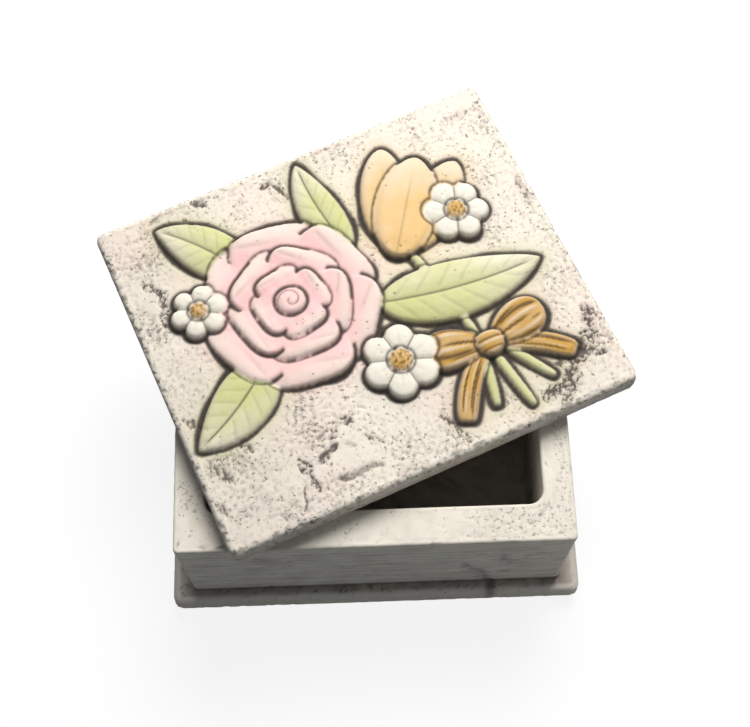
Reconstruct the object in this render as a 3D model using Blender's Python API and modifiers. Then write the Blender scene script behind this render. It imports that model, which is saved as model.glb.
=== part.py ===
"""A cast keepsake box: a tray with page-edge walls on a plinth, under a loose lid with a bouquet in relief.

Metres, +Z up. The front faces -Y, and the origin is the middle of the plinth's underside.
"""

import math

import bmesh
import bpy

# The tray: its outside, its walls and its hollow
TRAY_WIDTH = 0.0800
TRAY_DEPTH = 0.0700
TRAY_HEIGHT = 0.0330
TRAY_CORNER_RADIUS = 0.0012
RIM_ROUNDING = 0.0006
SIDE_WALL = 0.0062
END_WALL = 0.0078
FLOOR_THICKNESS = 0.0045
HOLLOW_CORNER_RADIUS = 0.0030
HOLLOW_FLOOR_RADIUS = 0.0020

# The tray's outer walls are cast in courses, like the edges of a stack of pages, parted by grooves
GROOVE_WIDTH = 0.0007
GROOVE_DEPTH = 0.00035
COURSE_STEP = 0.00015
# Each course from the foot up: its height, how far its face steps back, and the depth of the groove above it
COURSE_SHARES = (
    (1.10, 0.0, 0.9),
    (0.85, 0.8, 0.6),
    (1.00, 0.2, 1.0),
    (0.80, 1.0, 0.7),
    (1.25, 0.0, 0.8),
    (0.90, 0.6, 1.0),
    (1.05, 0.3, 0.5),
    (0.80, 0.9, 0.9),
    (1.15, 0.1, 0.7),
    (0.95, 0.7, 1.0),
    (1.05, 0.0, 0.6),
    (0.85, 0.9, 0.9),
    (1.00, 0.4, 0.7),
    (1.25, 0.0, 0.0),
)

# The plinth and the lid are slabs of one size, which reach past the tray by a ledge
LEDGE_SIDE = 0.0045
LEDGE_END = 0.0030
PLINTH_THICKNESS = 0.0060
LID_THICKNESS = 0.0060
SLAB_CORNER_RADIUS = 0.0016
SLAB_EDGE_ROUNDING = 0.0013

# Each piece rests on the one below with this gap
SEAT_GAP = 0.0003

# The lid lies askew on the rim: its turn, and its middle's place from the tray's middle
LID_TURN = math.radians(22.7)
LID_SHIFT_X = -0.0013
LID_SHIFT_Y = 0.0144

# The relief on the lid: the margin round it, its full rise, and how deep each form is rooted in the slab
RELIEF_MARGIN = 0.0025
RELIEF_RISE = 0.0027
RELIEF_ROOT = 0.0012

# How far a form's rim stays below its lift, as a share of the relief's rise
RIM_DROP_SHARE = 0.10

# How a form's width swells from its root and dies away to its tip: a small power is blunt, 1 is pointed
LEAF_POWERS = (0.55, 0.80)
PETAL_POWERS = (0.50, 0.57)
ROSE_POWERS = (0.75, 0.32)
STEM_POWERS = (0.20, 0.20)
TAIL_POWERS = (0.30, 0.16)
LOOP_POWERS = (0.80, 0.45)
ROUND_POWERS = (0.45, 0.45)

# How its crown rises from its root to its tip: place along, share of the crown
LEAF_RISE_SHARES = ((0, 0.2), (0.18, 0.8), (0.5, 1.0), (0.88, 0.7), (1, 0.0))
TULIP_RISE_SHARES = ((0, 0.4), (0.18, 0.9), (0.5, 1.0), (0.88, 0.85), (1, 0.2))
ROSE_RISE_SHARES = ((0, 0.2), (0.60, 0.25), (0.85, 1.0), (0.95, 0.85), (1, 0.2))
STEM_RISE_SHARES = ((0, 0.6), (0.5, 1.0), (1, 0.6))
TAIL_RISE_SHARES = ((0, 0.5), (0.35, 0.6), (0.65, 1.0), (0.88, 0.6), (1, 0.4))
LOOP_RISE_SHARES = ((0, 0.4), (0.18, 0.5), (0.65, 1.0), (0.88, 0.8), (1, 0.1))
ROUND_RISE_SHARES = ((0, 0.0), (0.25, 0.8), (0.5, 1.0), (0.75, 0.8), (1, 0.0))

# How its crown falls off to its edges: place across from the right edge at -1 to the left one at 1, share
# of the crown. A leaf is folded along its midrib, and a rose petal's left side lies over its neighbour.
ARCH_SHARES = ((-1, 0.0), (-0.80, 0.60), (-0.45, 0.95), (0, 1.0), (0.45, 0.95), (0.80, 0.60), (1, 0.0))
FOLDED_SHARES = ((-1, 0.0), (-0.80, 0.62), (-0.45, 1.0), (0, 0.72), (0.45, 1.0), (0.80, 0.62), (1, 0.0))
LAPPED_SHARES = ((-1, -0.35), (-0.60, 0.20), (0, 0.75), (0.60, 1.0), (0.90, 1.0), (1, 0.70))

# How a round form closes over from its rim: reach from its middle, share of its crown
BLOSSOM_CLOSING_SHARES = ((0.90, 0.50), (0.66, 0.85), (0.28, 0.60))
EYE_CLOSING_SHARES = ((0.88, 0.45), (0.55, 0.80), (0.20, 1.0))

# Places are shares of the relief's width and depth from the lid's middle. Lengths and widths are shares
# of its smaller side, lifts and crowns are shares of its rise, and headings and bends are in degrees.
# Each row is: place across, place back, heading, length, width, bend, lift, crown
STEM_SHARES = (
    (0.224, -0.26, 101, 0.39, 0.031, 8, 0.18, 0.18),
    (0.212, -0.26, 146, 0.28, 0.031, -8, 0.18, 0.18),
    (0.262, -0.27, -58, 0.19, 0.031, 6, 0.18, 0.18),
    (0.236, -0.27, -80, 0.22, 0.031, 4, 0.18, 0.18),
    (0.214, -0.27, -101, 0.18, 0.031, -6, 0.18, 0.18),
)
LEAF_SHARES = (
    (-0.262, -0.042, 212, 0.338, 0.17, -26, 0.22, 0.34),
    (-0.226, 0.225, 128, 0.31, 0.155, 22, 0.22, 0.34),
    (0.04, -0.02, -7, 0.50, 0.185, 22, 0.24, 0.38),
    (0.036, 0.17, 96, 0.335, 0.127, -20, 0.20, 0.30),
)
TULIP_SHARES = (
    (0.143, 0.105, 74, 0.352, 0.155, -14, 0.22, 0.30),
    (0.143, 0.105, 36, 0.352, 0.155, 14, 0.22, 0.30),
    (0.131, 0.092, 55, 0.338, 0.183, 0, 0.42, 0.36),
)
TAIL_SHARES = (
    (0.226, -0.268, 232, 0.24, 0.065, 30, 0.26, 0.20),
    (0.250, -0.268, -30, 0.24, 0.065, -30, 0.26, 0.20),
)
LOOP_SHARES = (
    (0.238, -0.268, 168, 0.197, 0.127, 20, 0.38, 0.34),
    (0.238, -0.268, 12, 0.197, 0.127, -20, 0.38, 0.34),
)
KNOT_SHARES = ((0.205, -0.268, 0, 0.08, 0.08, 0, 0.60, 0.30),)

# The rose is rings of petals round one middle, the outermost first
ROSE_PLACE_SHARES = (-0.155, 0.085)
ROSE_RINGS = (6, 5, 4)
# Each ring's first heading in degrees, and its petals' length, width, lift and crown
ROSE_RING_SHARES = (
    (22, 0.258, 0.268, 0.26, 0.36),
    (50, 0.172, 0.204, 0.48, 0.30),
    (10, 0.107, 0.134, 0.66, 0.24),
)
ROSE_BUD_SHARES = (0.087, 0.082, 0.80, 0.20)

# Small blossoms with notched rims: place across, place back, first heading, radius
BLOSSOM_SHARES = ((0.024, -0.211, 10, 0.115), (0.321, 0.155, 40, 0.099), (-0.369, 0.169, 0, 0.085))
BLOSSOM_PETALS = 6
BLOSSOM_NOTCH_SHARE = 0.30
BLOSSOM_LOBE_POWER = 0.6
BLOSSOM_LIFT_SHARE = 0.46
BLOSSOM_CROWN_SHARE = 0.26
EYE_RADIUS_SHARE = 0.30
EYE_LIFT_SHARE = 0.64
EYE_CROWN_SHARE = 0.20

# Facets
CORNER_STEPS = 6
EDGE_SEGMENTS = 3
PETAL_STATION_SHARES = (0.004, 0.05, 0.16, 0.32, 0.50, 0.68, 0.80, 0.90, 0.965, 0.996)
BLOSSOM_POINTS_EACH = 6
EYE_POINTS = 12
SHARP_ANGLE = math.radians(60)

# Overrun of a cutter past the face that it opens
CUT_OVERRUN = 0.0020

# Sizes that follow
SLAB_WIDTH = TRAY_WIDTH + 2 * LEDGE_SIDE
SLAB_DEPTH = TRAY_DEPTH + 2 * LEDGE_END
TRAY_FOOT = PLINTH_THICKNESS + SEAT_GAP
RIM = TRAY_FOOT + TRAY_HEIGHT
LID_FOOT = RIM + SEAT_GAP
RELIEF_WIDTH = SLAB_WIDTH - 2 * RELIEF_MARGIN
RELIEF_DEPTH = SLAB_DEPTH - 2 * RELIEF_MARGIN
RELIEF_SCALE = min(RELIEF_WIDTH, RELIEF_DEPTH)

# Colours, in linear values
PLASTER = (0.760, 0.690, 0.580)
PLASTER_SHADED = (0.640, 0.590, 0.510)
BLUSH_PINK = (0.860, 0.610, 0.600)
LEAF_GREEN = (0.640, 0.640, 0.340)
OCHRE = (0.760, 0.520, 0.230)
HONEY = (0.520, 0.350, 0.150)
CREAM = (0.820, 0.740, 0.600)
ROUGHNESS = 0.75


def clear_scene():
    for thing in list(bpy.data.objects):
        bpy.data.objects.remove(thing, do_unlink=True)


def new_collection(name):
    collection = bpy.data.collections.new(name)
    bpy.context.scene.collection.children.link(collection)
    return collection


def new_material(name, colour):
    material = bpy.data.materials.new(name)
    material.use_nodes = True
    shader = material.node_tree.nodes["Principled BSDF"]
    shader.inputs["Base Color"].default_value = (*colour, 1)
    shader.inputs["Roughness"].default_value = ROUGHNESS
    shader.inputs["Metallic"].default_value = 0
    material.diffuse_color = (*colour, 1)
    return material


def new_object(name, bm, collection, material):
    """Turn a bmesh into an object, and free it."""
    mesh = bpy.data.meshes.new(name)
    bm.to_mesh(mesh)
    bm.free()
    mesh.materials.append(material)
    piece = bpy.data.objects.new(name, mesh)
    collection.objects.link(piece)
    return piece


def as_guide(piece):
    piece.hide_render = True
    piece.display_type = "WIRE"


def rounded_rectangle(width, depth, radius, height):
    """A level section with round corners, counter-clockwise."""
    points = []
    for quarter, (side_x, side_y) in enumerate(((1, 1), (-1, 1), (-1, -1), (1, -1))):
        for step in range(CORNER_STEPS + 1):
            angle = math.pi / 2 * (quarter + step / CORNER_STEPS)
            x = side_x * (width / 2 - radius) + radius * math.cos(angle)
            y = side_y * (depth / 2 - radius) + radius * math.sin(angle)
            points.append((x, y, height))
    return points


def loft(sections):
    """Skin sections that have as many points each, from the lowest up, and cap both ends."""
    bm = bmesh.new()
    rings = [[bm.verts.new(point) for point in section] for section in sections]
    for lower, upper in zip(rings, rings[1:]):
        for k in range(len(lower)):
            bm.faces.new((lower[k - 1], lower[k], upper[k], upper[k - 1]))
    bm.faces.new(reversed(rings[0]))
    bm.faces.new(rings[-1])
    return bm


def slab(name, thickness, foot, collection, material):
    """A slab with upright corners rounded, and a smaller rounding along all its edges."""
    bm = bmesh.new()
    bmesh.ops.create_cube(bm, size=1)
    bmesh.ops.scale(bm, vec=(SLAB_WIDTH, SLAB_DEPTH, thickness), verts=bm.verts)
    bmesh.ops.translate(bm, vec=(0, 0, thickness / 2), verts=bm.verts)
    upright = [e for e in bm.edges if abs(e.verts[0].co.z - e.verts[1].co.z) > thickness / 2]
    bmesh.ops.bevel(
        bm,
        geom=upright,
        offset=SLAB_CORNER_RADIUS,
        offset_type="OFFSET",
        segments=CORNER_STEPS,
        profile=0.5,
        affect="EDGES",
    )
    piece = new_object(name, bm, collection, material)
    piece.location.z = foot
    rounding = piece.modifiers.new("edge_rounding", "BEVEL")
    rounding.width = SLAB_EDGE_ROUNDING
    rounding.segments = EDGE_SEGMENTS
    rounding.limit_method = "ANGLE"
    rounding.angle_limit = SHARP_ANGLE
    return piece


def tray_section(inset, height):
    width = TRAY_WIDTH - 2 * inset
    depth = TRAY_DEPTH - 2 * inset
    return rounded_rectangle(width, depth, TRAY_CORNER_RADIUS - inset, height)


def tray_outside():
    """The tray's outer walls: courses with a groove over each, up to a rounded rim."""
    course_unit = TRAY_HEIGHT / sum(row[0] for row in COURSE_SHARES)
    sections = [tray_section(COURSE_SHARES[0][1] * COURSE_STEP, 0)]
    top = 0
    for this, after in zip(COURSE_SHARES, COURSE_SHARES[1:]):
        top += this[0] * course_unit
        groove = this[2] * GROOVE_DEPTH + COURSE_STEP
        sections.append(tray_section(this[1] * COURSE_STEP, top - GROOVE_WIDTH / 2))
        sections.append(tray_section(groove, top - GROOVE_WIDTH / 6))
        sections.append(tray_section(groove, top + GROOVE_WIDTH / 6))
        sections.append(tray_section(after[1] * COURSE_STEP, top + GROOVE_WIDTH / 2))
    for step in range(EDGE_SEGMENTS + 1):
        angle = math.pi / 2 * step / EDGE_SEGMENTS
        inset = RIM_ROUNDING * (1 - math.cos(angle))
        sections.append(tray_section(inset, TRAY_HEIGHT - RIM_ROUNDING * (1 - math.sin(angle))))
    return loft(sections)


def hollow_section(inset, height):
    width = TRAY_WIDTH - 2 * SIDE_WALL - 2 * inset
    depth = TRAY_DEPTH - 2 * END_WALL - 2 * inset
    return rounded_rectangle(width, depth, HOLLOW_CORNER_RADIUS - inset, height)


def tray_hollow():
    """The space inside the tray: a filleted floor, straight walls and a mouth that eases out at the rim."""
    sections = []
    for step in range(EDGE_SEGMENTS + 1):
        angle = math.pi / 2 * step / EDGE_SEGMENTS
        inset = HOLLOW_FLOOR_RADIUS * (1 - math.sin(angle))
        sections.append(hollow_section(inset, FLOOR_THICKNESS + HOLLOW_FLOOR_RADIUS * (1 - math.cos(angle))))
    for step in range(EDGE_SEGMENTS + 1):
        angle = math.pi / 2 * step / EDGE_SEGMENTS
        inset = -RIM_ROUNDING * (1 - math.cos(angle))
        sections.append(hollow_section(inset, TRAY_HEIGHT - RIM_ROUNDING * (1 - math.sin(angle))))
    sections.append(hollow_section(-RIM_ROUNDING, TRAY_HEIGHT + CUT_OVERRUN))
    return loft(sections)


def box_tray(parts, cutters, material):
    tray = new_object("box_tray", tray_outside(), parts, material)
    hollow = new_object("tray_hollow", tray_hollow(), cutters, material)
    as_guide(hollow)
    for piece in (tray, hollow):
        piece.location.z = TRAY_FOOT
    cut = tray.modifiers.new("hollow", "BOOLEAN")
    cut.operation = "DIFFERENCE"
    cut.solver = "EXACT"
    cut.object = hollow
    return tray


def read_table(table, place):
    """The value at a place in a table of (place, value) rows, on a straight line between its rows."""
    for (before, low), (after, high) in zip(table, table[1:]):
        if place <= after:
            return low + (high - low) * (place - before) / (after - before)
    return table[-1][1]


def petal_sections(place, heading, length, width, bend, lift, crown, habit):
    """Upright sections through a petal, from its root to its tip, each up one side, over and down the other.

    The spine bends evenly. The habit is the petal's powers of width, its rise along and its fall across.
    """
    (root_power, tip_power), rise_shares, across_shares = habit
    widest = root_power / (root_power + tip_power)
    fullest = widest**root_power * (1 - widest) ** tip_power
    sections = []
    x, y = place
    before = 0
    for along in PETAL_STATION_SHARES:
        way = math.radians(heading + bend * ((along + before) / 2 - 0.5))
        x += length * (along - before) * math.cos(way)
        y += length * (along - before) * math.sin(way)
        before = along
        facing = math.radians(heading + bend * (along - 0.5))
        half = width / 2 * along**root_power * (1 - along) ** tip_power / fullest
        section = []
        for share, fall in across_shares:
            rim = RIM_DROP_SHARE if abs(share) == 1 else 0
            rise = RELIEF_RISE * (lift - rim + crown * fall * read_table(rise_shares, along))
            reach = half * share
            section.append((x - reach * math.sin(facing), y + reach * math.cos(facing), LID_THICKNESS + rise))
        root = LID_THICKNESS - RELIEF_ROOT
        section.append((section[-1][0], section[-1][1], root))
        section.append((section[0][0], section[0][1], root))
        sections.append(section)
    return sections


def blossom_outline(place, heading, radius):
    """A small blossom's outline, its rim notched between the petals."""
    points = []
    count = BLOSSOM_PETALS * BLOSSOM_POINTS_EACH
    for k in range(count):
        angle = 2 * math.pi * k / count
        wave = math.cos(BLOSSOM_PETALS * (angle - math.radians(heading)) / 2)
        lobe = abs(wave) ** BLOSSOM_LOBE_POWER
        reach = radius * (1 - BLOSSOM_NOTCH_SHARE + BLOSSOM_NOTCH_SHARE * lobe)
        points.append((place[0] + reach * math.cos(angle), place[1] + reach * math.sin(angle)))
    return points


def eye_outline(place, radius):
    steps = [2 * math.pi * k / EYE_POINTS for k in range(EYE_POINTS)]
    return [(place[0] + radius * math.cos(a), place[1] + radius * math.sin(a)) for a in steps]


def relief_place(across_share, back_share):
    return across_share * RELIEF_WIDTH, back_share * RELIEF_DEPTH


def round_sections(place, outline, lift, crown, closing_shares):
    """Level sections of a round form: a low wall that is rooted in the slab, closed over by a crown."""
    sections = [[(x, y, LID_THICKNESS - RELIEF_ROOT) for x, y in outline]]
    rim_height = LID_THICKNESS + RELIEF_RISE * (lift - RIM_DROP_SHARE)
    sections.append([(x, y, rim_height) for x, y in outline])
    for reach, part in closing_shares:
        section = []
        for x, y in outline:
            across = place[0] + reach * (x - place[0])
            back = place[1] + reach * (y - place[1])
            section.append((across, back, LID_THICKNESS + RELIEF_RISE * (lift + crown * part)))
        sections.append(section)
    return sections


def relief_form(name, sections, lid, guides, material):
    bm = loft(sections)
    bmesh.ops.recalc_face_normals(bm, faces=bm.faces)
    form = new_object(name, bm, guides, material)
    form.parent = lid
    as_guide(form)


def petals_from(name, rows, habit, lid, guides, material):
    """One form for each row of a table of petals, leaves or ribbon pieces."""
    for k, row in enumerate(rows):
        across, back, heading, length, width, bend, lift, crown = row
        place = relief_place(across, back)
        length *= RELIEF_SCALE
        width *= RELIEF_SCALE
        sections = petal_sections(place, heading, length, width, bend, lift, crown, habit)
        relief_form(f"{name}_{k + 1}", sections, lid, guides, material)


def rose(lid, guides, material):
    """Rings of broad petals, each ring higher and smaller than the one round it, and a bud in the middle."""
    across, back = ROSE_PLACE_SHARES
    petal_habit = (ROSE_POWERS, ROSE_RISE_SHARES, LAPPED_SHARES)
    for ring, count in enumerate(ROSE_RINGS):
        first, length, width, lift, crown = ROSE_RING_SHARES[ring]
        rows = [(across, back, first + 360 * k / count, length, width, 0, lift, crown) for k in range(count)]
        petals_from(f"rose_petal_{ring + 1}", rows, petal_habit, lid, guides, material)
    length, width, lift, crown = ROSE_BUD_SHARES
    root_share = across - length * RELIEF_SCALE / 2 / RELIEF_WIDTH
    bud = ((root_share, back, 0, length, width, 0, lift, crown),)
    petals_from("rose_bud", bud, (ROUND_POWERS, ROUND_RISE_SHARES, ARCH_SHARES), lid, guides, material)


def blossoms(lid, guides, petal_material, eye_material):
    for k, (across, back, heading, radius) in enumerate(BLOSSOM_SHARES):
        place = relief_place(across, back)
        reach = radius * RELIEF_SCALE
        outline = blossom_outline(place, heading, reach)
        sections = round_sections(
            place, outline, BLOSSOM_LIFT_SHARE, BLOSSOM_CROWN_SHARE, BLOSSOM_CLOSING_SHARES
        )
        relief_form(f"blossom_{k + 1}", sections, lid, guides, petal_material)
        outline = eye_outline(place, reach * EYE_RADIUS_SHARE)
        sections = round_sections(place, outline, EYE_LIFT_SHARE, EYE_CROWN_SHARE, EYE_CLOSING_SHARES)
        relief_form(f"eye_{k + 1}", sections, lid, guides, eye_material)


def lid_slab(parts, guides, plaster):
    """The lid: a slab with the whole bouquet cast in one with it, lying askew on the rim."""
    lid = slab("lid", LID_THICKNESS, LID_FOOT, parts, plaster)
    lid.location.x = LID_SHIFT_X
    lid.location.y = LID_SHIFT_Y
    lid.rotation_euler.z = LID_TURN
    green = new_material("leaf_green_paint", LEAF_GREEN)
    honey = new_material("honey_paint", HONEY)
    ochre = new_material("ochre_paint", OCHRE)
    round_habit = (ROUND_POWERS, ROUND_RISE_SHARES, ARCH_SHARES)
    petals_from("stem", STEM_SHARES, (STEM_POWERS, STEM_RISE_SHARES, ARCH_SHARES), lid, guides, green)
    petals_from("leaf", LEAF_SHARES, (LEAF_POWERS, LEAF_RISE_SHARES, FOLDED_SHARES), lid, guides, green)
    petals_from("tulip", TULIP_SHARES, (PETAL_POWERS, TULIP_RISE_SHARES, ARCH_SHARES), lid, guides, ochre)
    petals_from("ribbon_tail", TAIL_SHARES, (TAIL_POWERS, TAIL_RISE_SHARES, ARCH_SHARES), lid, guides, honey)
    petals_from("ribbon_loop", LOOP_SHARES, (LOOP_POWERS, LOOP_RISE_SHARES, ARCH_SHARES), lid, guides, honey)
    petals_from("ribbon_knot", KNOT_SHARES, round_habit, lid, guides, honey)
    rose(lid, guides, new_material("blush_pink_paint", BLUSH_PINK))
    blossoms(lid, guides, new_material("cream_paint", CREAM), honey)
    join = lid.modifiers.new("bouquet", "BOOLEAN")
    join.operation = "UNION"
    join.solver = "EXACT"
    join.operand_type = "COLLECTION"
    join.collection = guides
    join.material_mode = "TRANSFER"
    return lid


def build():
    clear_scene()
    parts = new_collection("keepsake_box")
    cutters = new_collection("cutters")
    guides = new_collection("relief_forms")
    slab("base_plinth", PLINTH_THICKNESS, 0, parts, new_material("shaded_plaster", PLASTER_SHADED))
    box_tray(parts, cutters, new_material("wall_plaster", PLASTER))
    lid_slab(parts, guides, new_material("lid_plaster", PLASTER))


build()
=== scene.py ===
import math
import random
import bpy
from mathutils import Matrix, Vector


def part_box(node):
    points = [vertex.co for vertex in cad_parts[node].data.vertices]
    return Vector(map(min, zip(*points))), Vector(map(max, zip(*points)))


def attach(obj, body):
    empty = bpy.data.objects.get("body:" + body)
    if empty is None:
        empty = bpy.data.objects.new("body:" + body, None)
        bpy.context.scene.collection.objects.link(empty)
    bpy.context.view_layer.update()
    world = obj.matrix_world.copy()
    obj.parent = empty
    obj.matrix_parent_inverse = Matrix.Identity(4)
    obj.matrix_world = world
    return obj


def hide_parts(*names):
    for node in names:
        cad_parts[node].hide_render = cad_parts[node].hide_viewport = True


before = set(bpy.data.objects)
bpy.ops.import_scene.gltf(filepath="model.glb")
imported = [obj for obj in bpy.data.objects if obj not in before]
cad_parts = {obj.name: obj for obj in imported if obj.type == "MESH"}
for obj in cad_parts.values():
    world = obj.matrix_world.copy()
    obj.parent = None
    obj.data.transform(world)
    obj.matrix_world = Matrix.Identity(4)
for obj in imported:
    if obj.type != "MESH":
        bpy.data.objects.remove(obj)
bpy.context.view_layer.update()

from types import SimpleNamespace

import bmesh
import bpy
import numpy as np
from mathutils import Matrix, Vector, noise

# Sizes are in metres, read from the frame where it has them
MM = 0.001
TRAY_LOW, TRAY_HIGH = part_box("box_tray")
PLINTH_LOW, PLINTH_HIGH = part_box("base_plinth")
LID_LOW, LID_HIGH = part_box("lid")
TRAY_WIDTH = TRAY_HIGH[0] - TRAY_LOW[0]
TRAY_DEPTH = TRAY_HIGH[1] - TRAY_LOW[1]
TRAY_HEIGHT = TRAY_HIGH[2] - TRAY_LOW[2]
SLAB_WIDTH = PLINTH_HIGH[0] - PLINTH_LOW[0]
SLAB_DEPTH = PLINTH_HIGH[1] - PLINTH_LOW[1]
PLINTH_THICKNESS = PLINTH_HIGH[2] - PLINTH_LOW[2]
LID_MIDDLE = ((LID_LOW[0] + LID_HIGH[0]) / 2, (LID_LOW[1] + LID_HIGH[1]) / 2)
LID_TURN = math.radians(22.7)
LID_THICKNESS = 6.0 * MM
SIDE_WALL = 6.2 * MM
END_WALL = 7.8 * MM
FLOOR_THICKNESS = 4.5 * MM
SLAB_CORNER = 1.6 * MM
TOP_ROUNDING = 1.3 * MM
FOOT_ROUNDING = 1.3 * MM
TRAY_CORNER = 1.2 * MM
HOLLOW_CORNER = 3.0 * MM
HOLLOW_FLOOR = 2.0 * MM
RIM_ROUNDING = 0.6 * MM

# The courses on the tray's walls, from the foot up: height, step back, depth of the groove above, as shares
GROOVE_WIDTH = 0.7 * MM
GROOVE_DEPTH = 0.35 * MM
COURSE_STEP = 0.15 * MM
COURSE_SHARES = (
    (1.10, 0.0, 0.9), (0.85, 0.8, 0.6), (1.00, 0.2, 1.0), (0.80, 1.0, 0.7), (1.25, 0.0, 0.8),
    (0.90, 0.6, 1.0), (1.05, 0.3, 0.5), (0.80, 0.9, 0.9), (1.15, 0.1, 0.7), (0.95, 0.7, 1.0),
    (1.05, 0.0, 0.6), (0.85, 0.9, 0.9), (1.00, 0.4, 0.7), (1.25, 0.0, 0.0),
)

# The bouquet on the lid, in shares of the relief's width, depth, smaller side and rise
RELIEF_MARGIN = 2.5 * MM
RELIEF_RISE = 2.7 * MM
RELIEF_WIDTH = SLAB_WIDTH - 2 * RELIEF_MARGIN
RELIEF_DEPTH = SLAB_DEPTH - 2 * RELIEF_MARGIN
RELIEF_SCALE = min(RELIEF_WIDTH, RELIEF_DEPTH)
RIM_DROP_SHARE = 0.10
SHOULDER = 0.8 * MM
# How a form's width swells from its root and dies away to its tip
POWERS = {
    "stem": (0.20, 0.20), "leaf": (0.55, 0.80), "tulip": (0.50, 0.57), "tail": (0.30, 0.16),
    "loop": (0.80, 0.45), "knot": (0.45, 0.45), "rose": (0.75, 0.32), "bud": (0.45, 0.45),
}
# How a form's crown rises from its root to its tip
CROWN_ALONG = {
    "stem": ((0, 0.6), (0.5, 1.0), (1, 0.6)),
    "leaf": ((0, 0.2), (0.18, 0.8), (0.5, 1.0), (0.88, 0.7), (1, 0.0)),
    "tulip": ((0, 0.4), (0.18, 0.9), (0.5, 1.0), (0.88, 0.85), (1, 0.2)),
    "tail": ((0, 0.5), (0.35, 0.6), (0.65, 1.0), (0.88, 0.6), (1, 0.4)),
    "loop": ((0, 0.4), (0.18, 0.5), (0.65, 1.0), (0.88, 0.8), (1, 0.1)),
    "knot": ((0, 0.0), (0.25, 0.8), (0.5, 1.0), (0.75, 0.8), (1, 0.0)),
    "rose": ((0, 0.2), (0.60, 0.25), (0.85, 1.0), (0.95, 0.85), (1, 0.2)),
    "bud": ((0, 0.0), (0.25, 0.8), (0.5, 1.0), (0.75, 0.8), (1, 0.0)),
}
# How it falls off from the right edge at -1 to the left one at 1: a leaf is folded along its midrib, and a
# rose petal's left side lies over its neighbour
ARCH = ((-1, 0.0), (-0.80, 0.60), (-0.45, 0.95), (0, 1.0), (0.45, 0.95), (0.80, 0.60), (1, 0.0))
ACROSS = {
    "leaf": ((-1, 0.0), (-0.80, 0.62), (-0.45, 1.0), (-0.14, 0.86), (0, 0.68), (0.14, 0.86), (0.45, 1.0),
             (0.80, 0.62), (1, 0.0)),
    "rose": ((-1, -0.35), (-0.60, 0.20), (0, 0.75), (0.60, 1.0), (0.90, 1.0), (1, 0.70)),
}
# Each row is: place across, place back, heading, length, width, bend, lift, crown
STEMS = (
    (0.224, -0.26, 101, 0.39, 0.031, 8, 0.18, 0.18),
    (0.212, -0.26, 146, 0.28, 0.031, -8, 0.18, 0.18),
    (0.262, -0.27, -58, 0.19, 0.031, 6, 0.18, 0.18),
    (0.236, -0.27, -80, 0.22, 0.031, 4, 0.18, 0.18),
    (0.214, -0.27, -101, 0.18, 0.031, -6, 0.18, 0.18),
)
LEAVES = (
    (-0.262, -0.042, 212, 0.338, 0.17, -26, 0.22, 0.34),
    (-0.226, 0.225, 128, 0.31, 0.155, 22, 0.22, 0.34),
    (0.04, -0.02, -7, 0.50, 0.185, 22, 0.24, 0.38),
    (0.036, 0.17, 96, 0.335, 0.127, -20, 0.20, 0.30),
)
TULIP = (
    (0.143, 0.105, 74, 0.352, 0.155, -14, 0.22, 0.30),
    (0.143, 0.105, 36, 0.352, 0.155, 14, 0.22, 0.30),
    (0.131, 0.092, 55, 0.338, 0.183, 0, 0.42, 0.36),
)
TAILS = (
    (0.226, -0.268, 232, 0.24, 0.065, 30, 0.26, 0.20),
    (0.250, -0.268, -30, 0.24, 0.065, -30, 0.26, 0.20),
)
LOOPS = (
    (0.238, -0.268, 168, 0.197, 0.127, 20, 0.38, 0.34),
    (0.238, -0.268, 12, 0.197, 0.127, -20, 0.38, 0.34),
)
KNOTS = ((0.205, -0.268, 0, 0.08, 0.08, 0, 0.60, 0.30),)
ROSE_PLACE = (-0.155, 0.085)
ROSE_RINGS = (6, 5, 4)
# Each ring's first heading, and its petals' length, width, lift and crown
ROSE_RING_ROWS = (
    (22, 0.258, 0.268, 0.26, 0.36),
    (50, 0.172, 0.204, 0.48, 0.30),
    (10, 0.107, 0.134, 0.66, 0.24),
)
ROSE_BUD = (0.087, 0.082, 0.80, 0.20)
BLOSSOMS = ((0.024, -0.211, 10, 0.115), (0.321, 0.155, 40, 0.099), (-0.369, 0.169, 0, 0.085))
BLOSSOM_PETALS = 6
BLOSSOM_NOTCH_SHARE = 0.30
BLOSSOM_LOBE_POWER = 0.6
BLOSSOM_LIFT_SHARE = 0.46
BLOSSOM_CROWN_SHARE = 0.26
BLOSSOM_CLOSING = ((0, 0.5), (0.35, 0.75), (0.66, 1.0), (0.90, 0.55), (1, 0.0))
EYE_RADIUS_SHARE = 0.30
EYE_LIFT_SHARE = 0.64
EYE_CROWN_SHARE = 0.20
EYE_CLOSING = ((0, 1.0), (0.6, 0.75), (1, 0.0))

# The outline groove cut round every form: on the ground now wide, now narrow, between forms fine
GROOVE_NARROW = 0.65 * MM
GROOVE_WIDE = 1.65 * MM
GROOVE_FINE = 0.90 * MM
OUTLINE_DEPTH = 0.45 * MM
# How far the soft shade round a form, the one inside its edge, and the paint sprayed past it reach
HALO = 1.2 * MM
INNER_SHADE = 0.9 * MM
OVERSPRAY = 2.2 * MM
# Half the width over which a form's edge passes into what lies under it
SEAM = 0.25 * MM
# How far from a form's edge its lines and its paint come up to their full strength
LINES_FADE = 0.5 * MM
PAINT_FADE = 0.9 * MM
# The least half width of a form, and how far a petal's edge may lie under its neighbour and be outlined
NARROWEST = 0.05 * MM
LAP = 0.06 * MM

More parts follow.
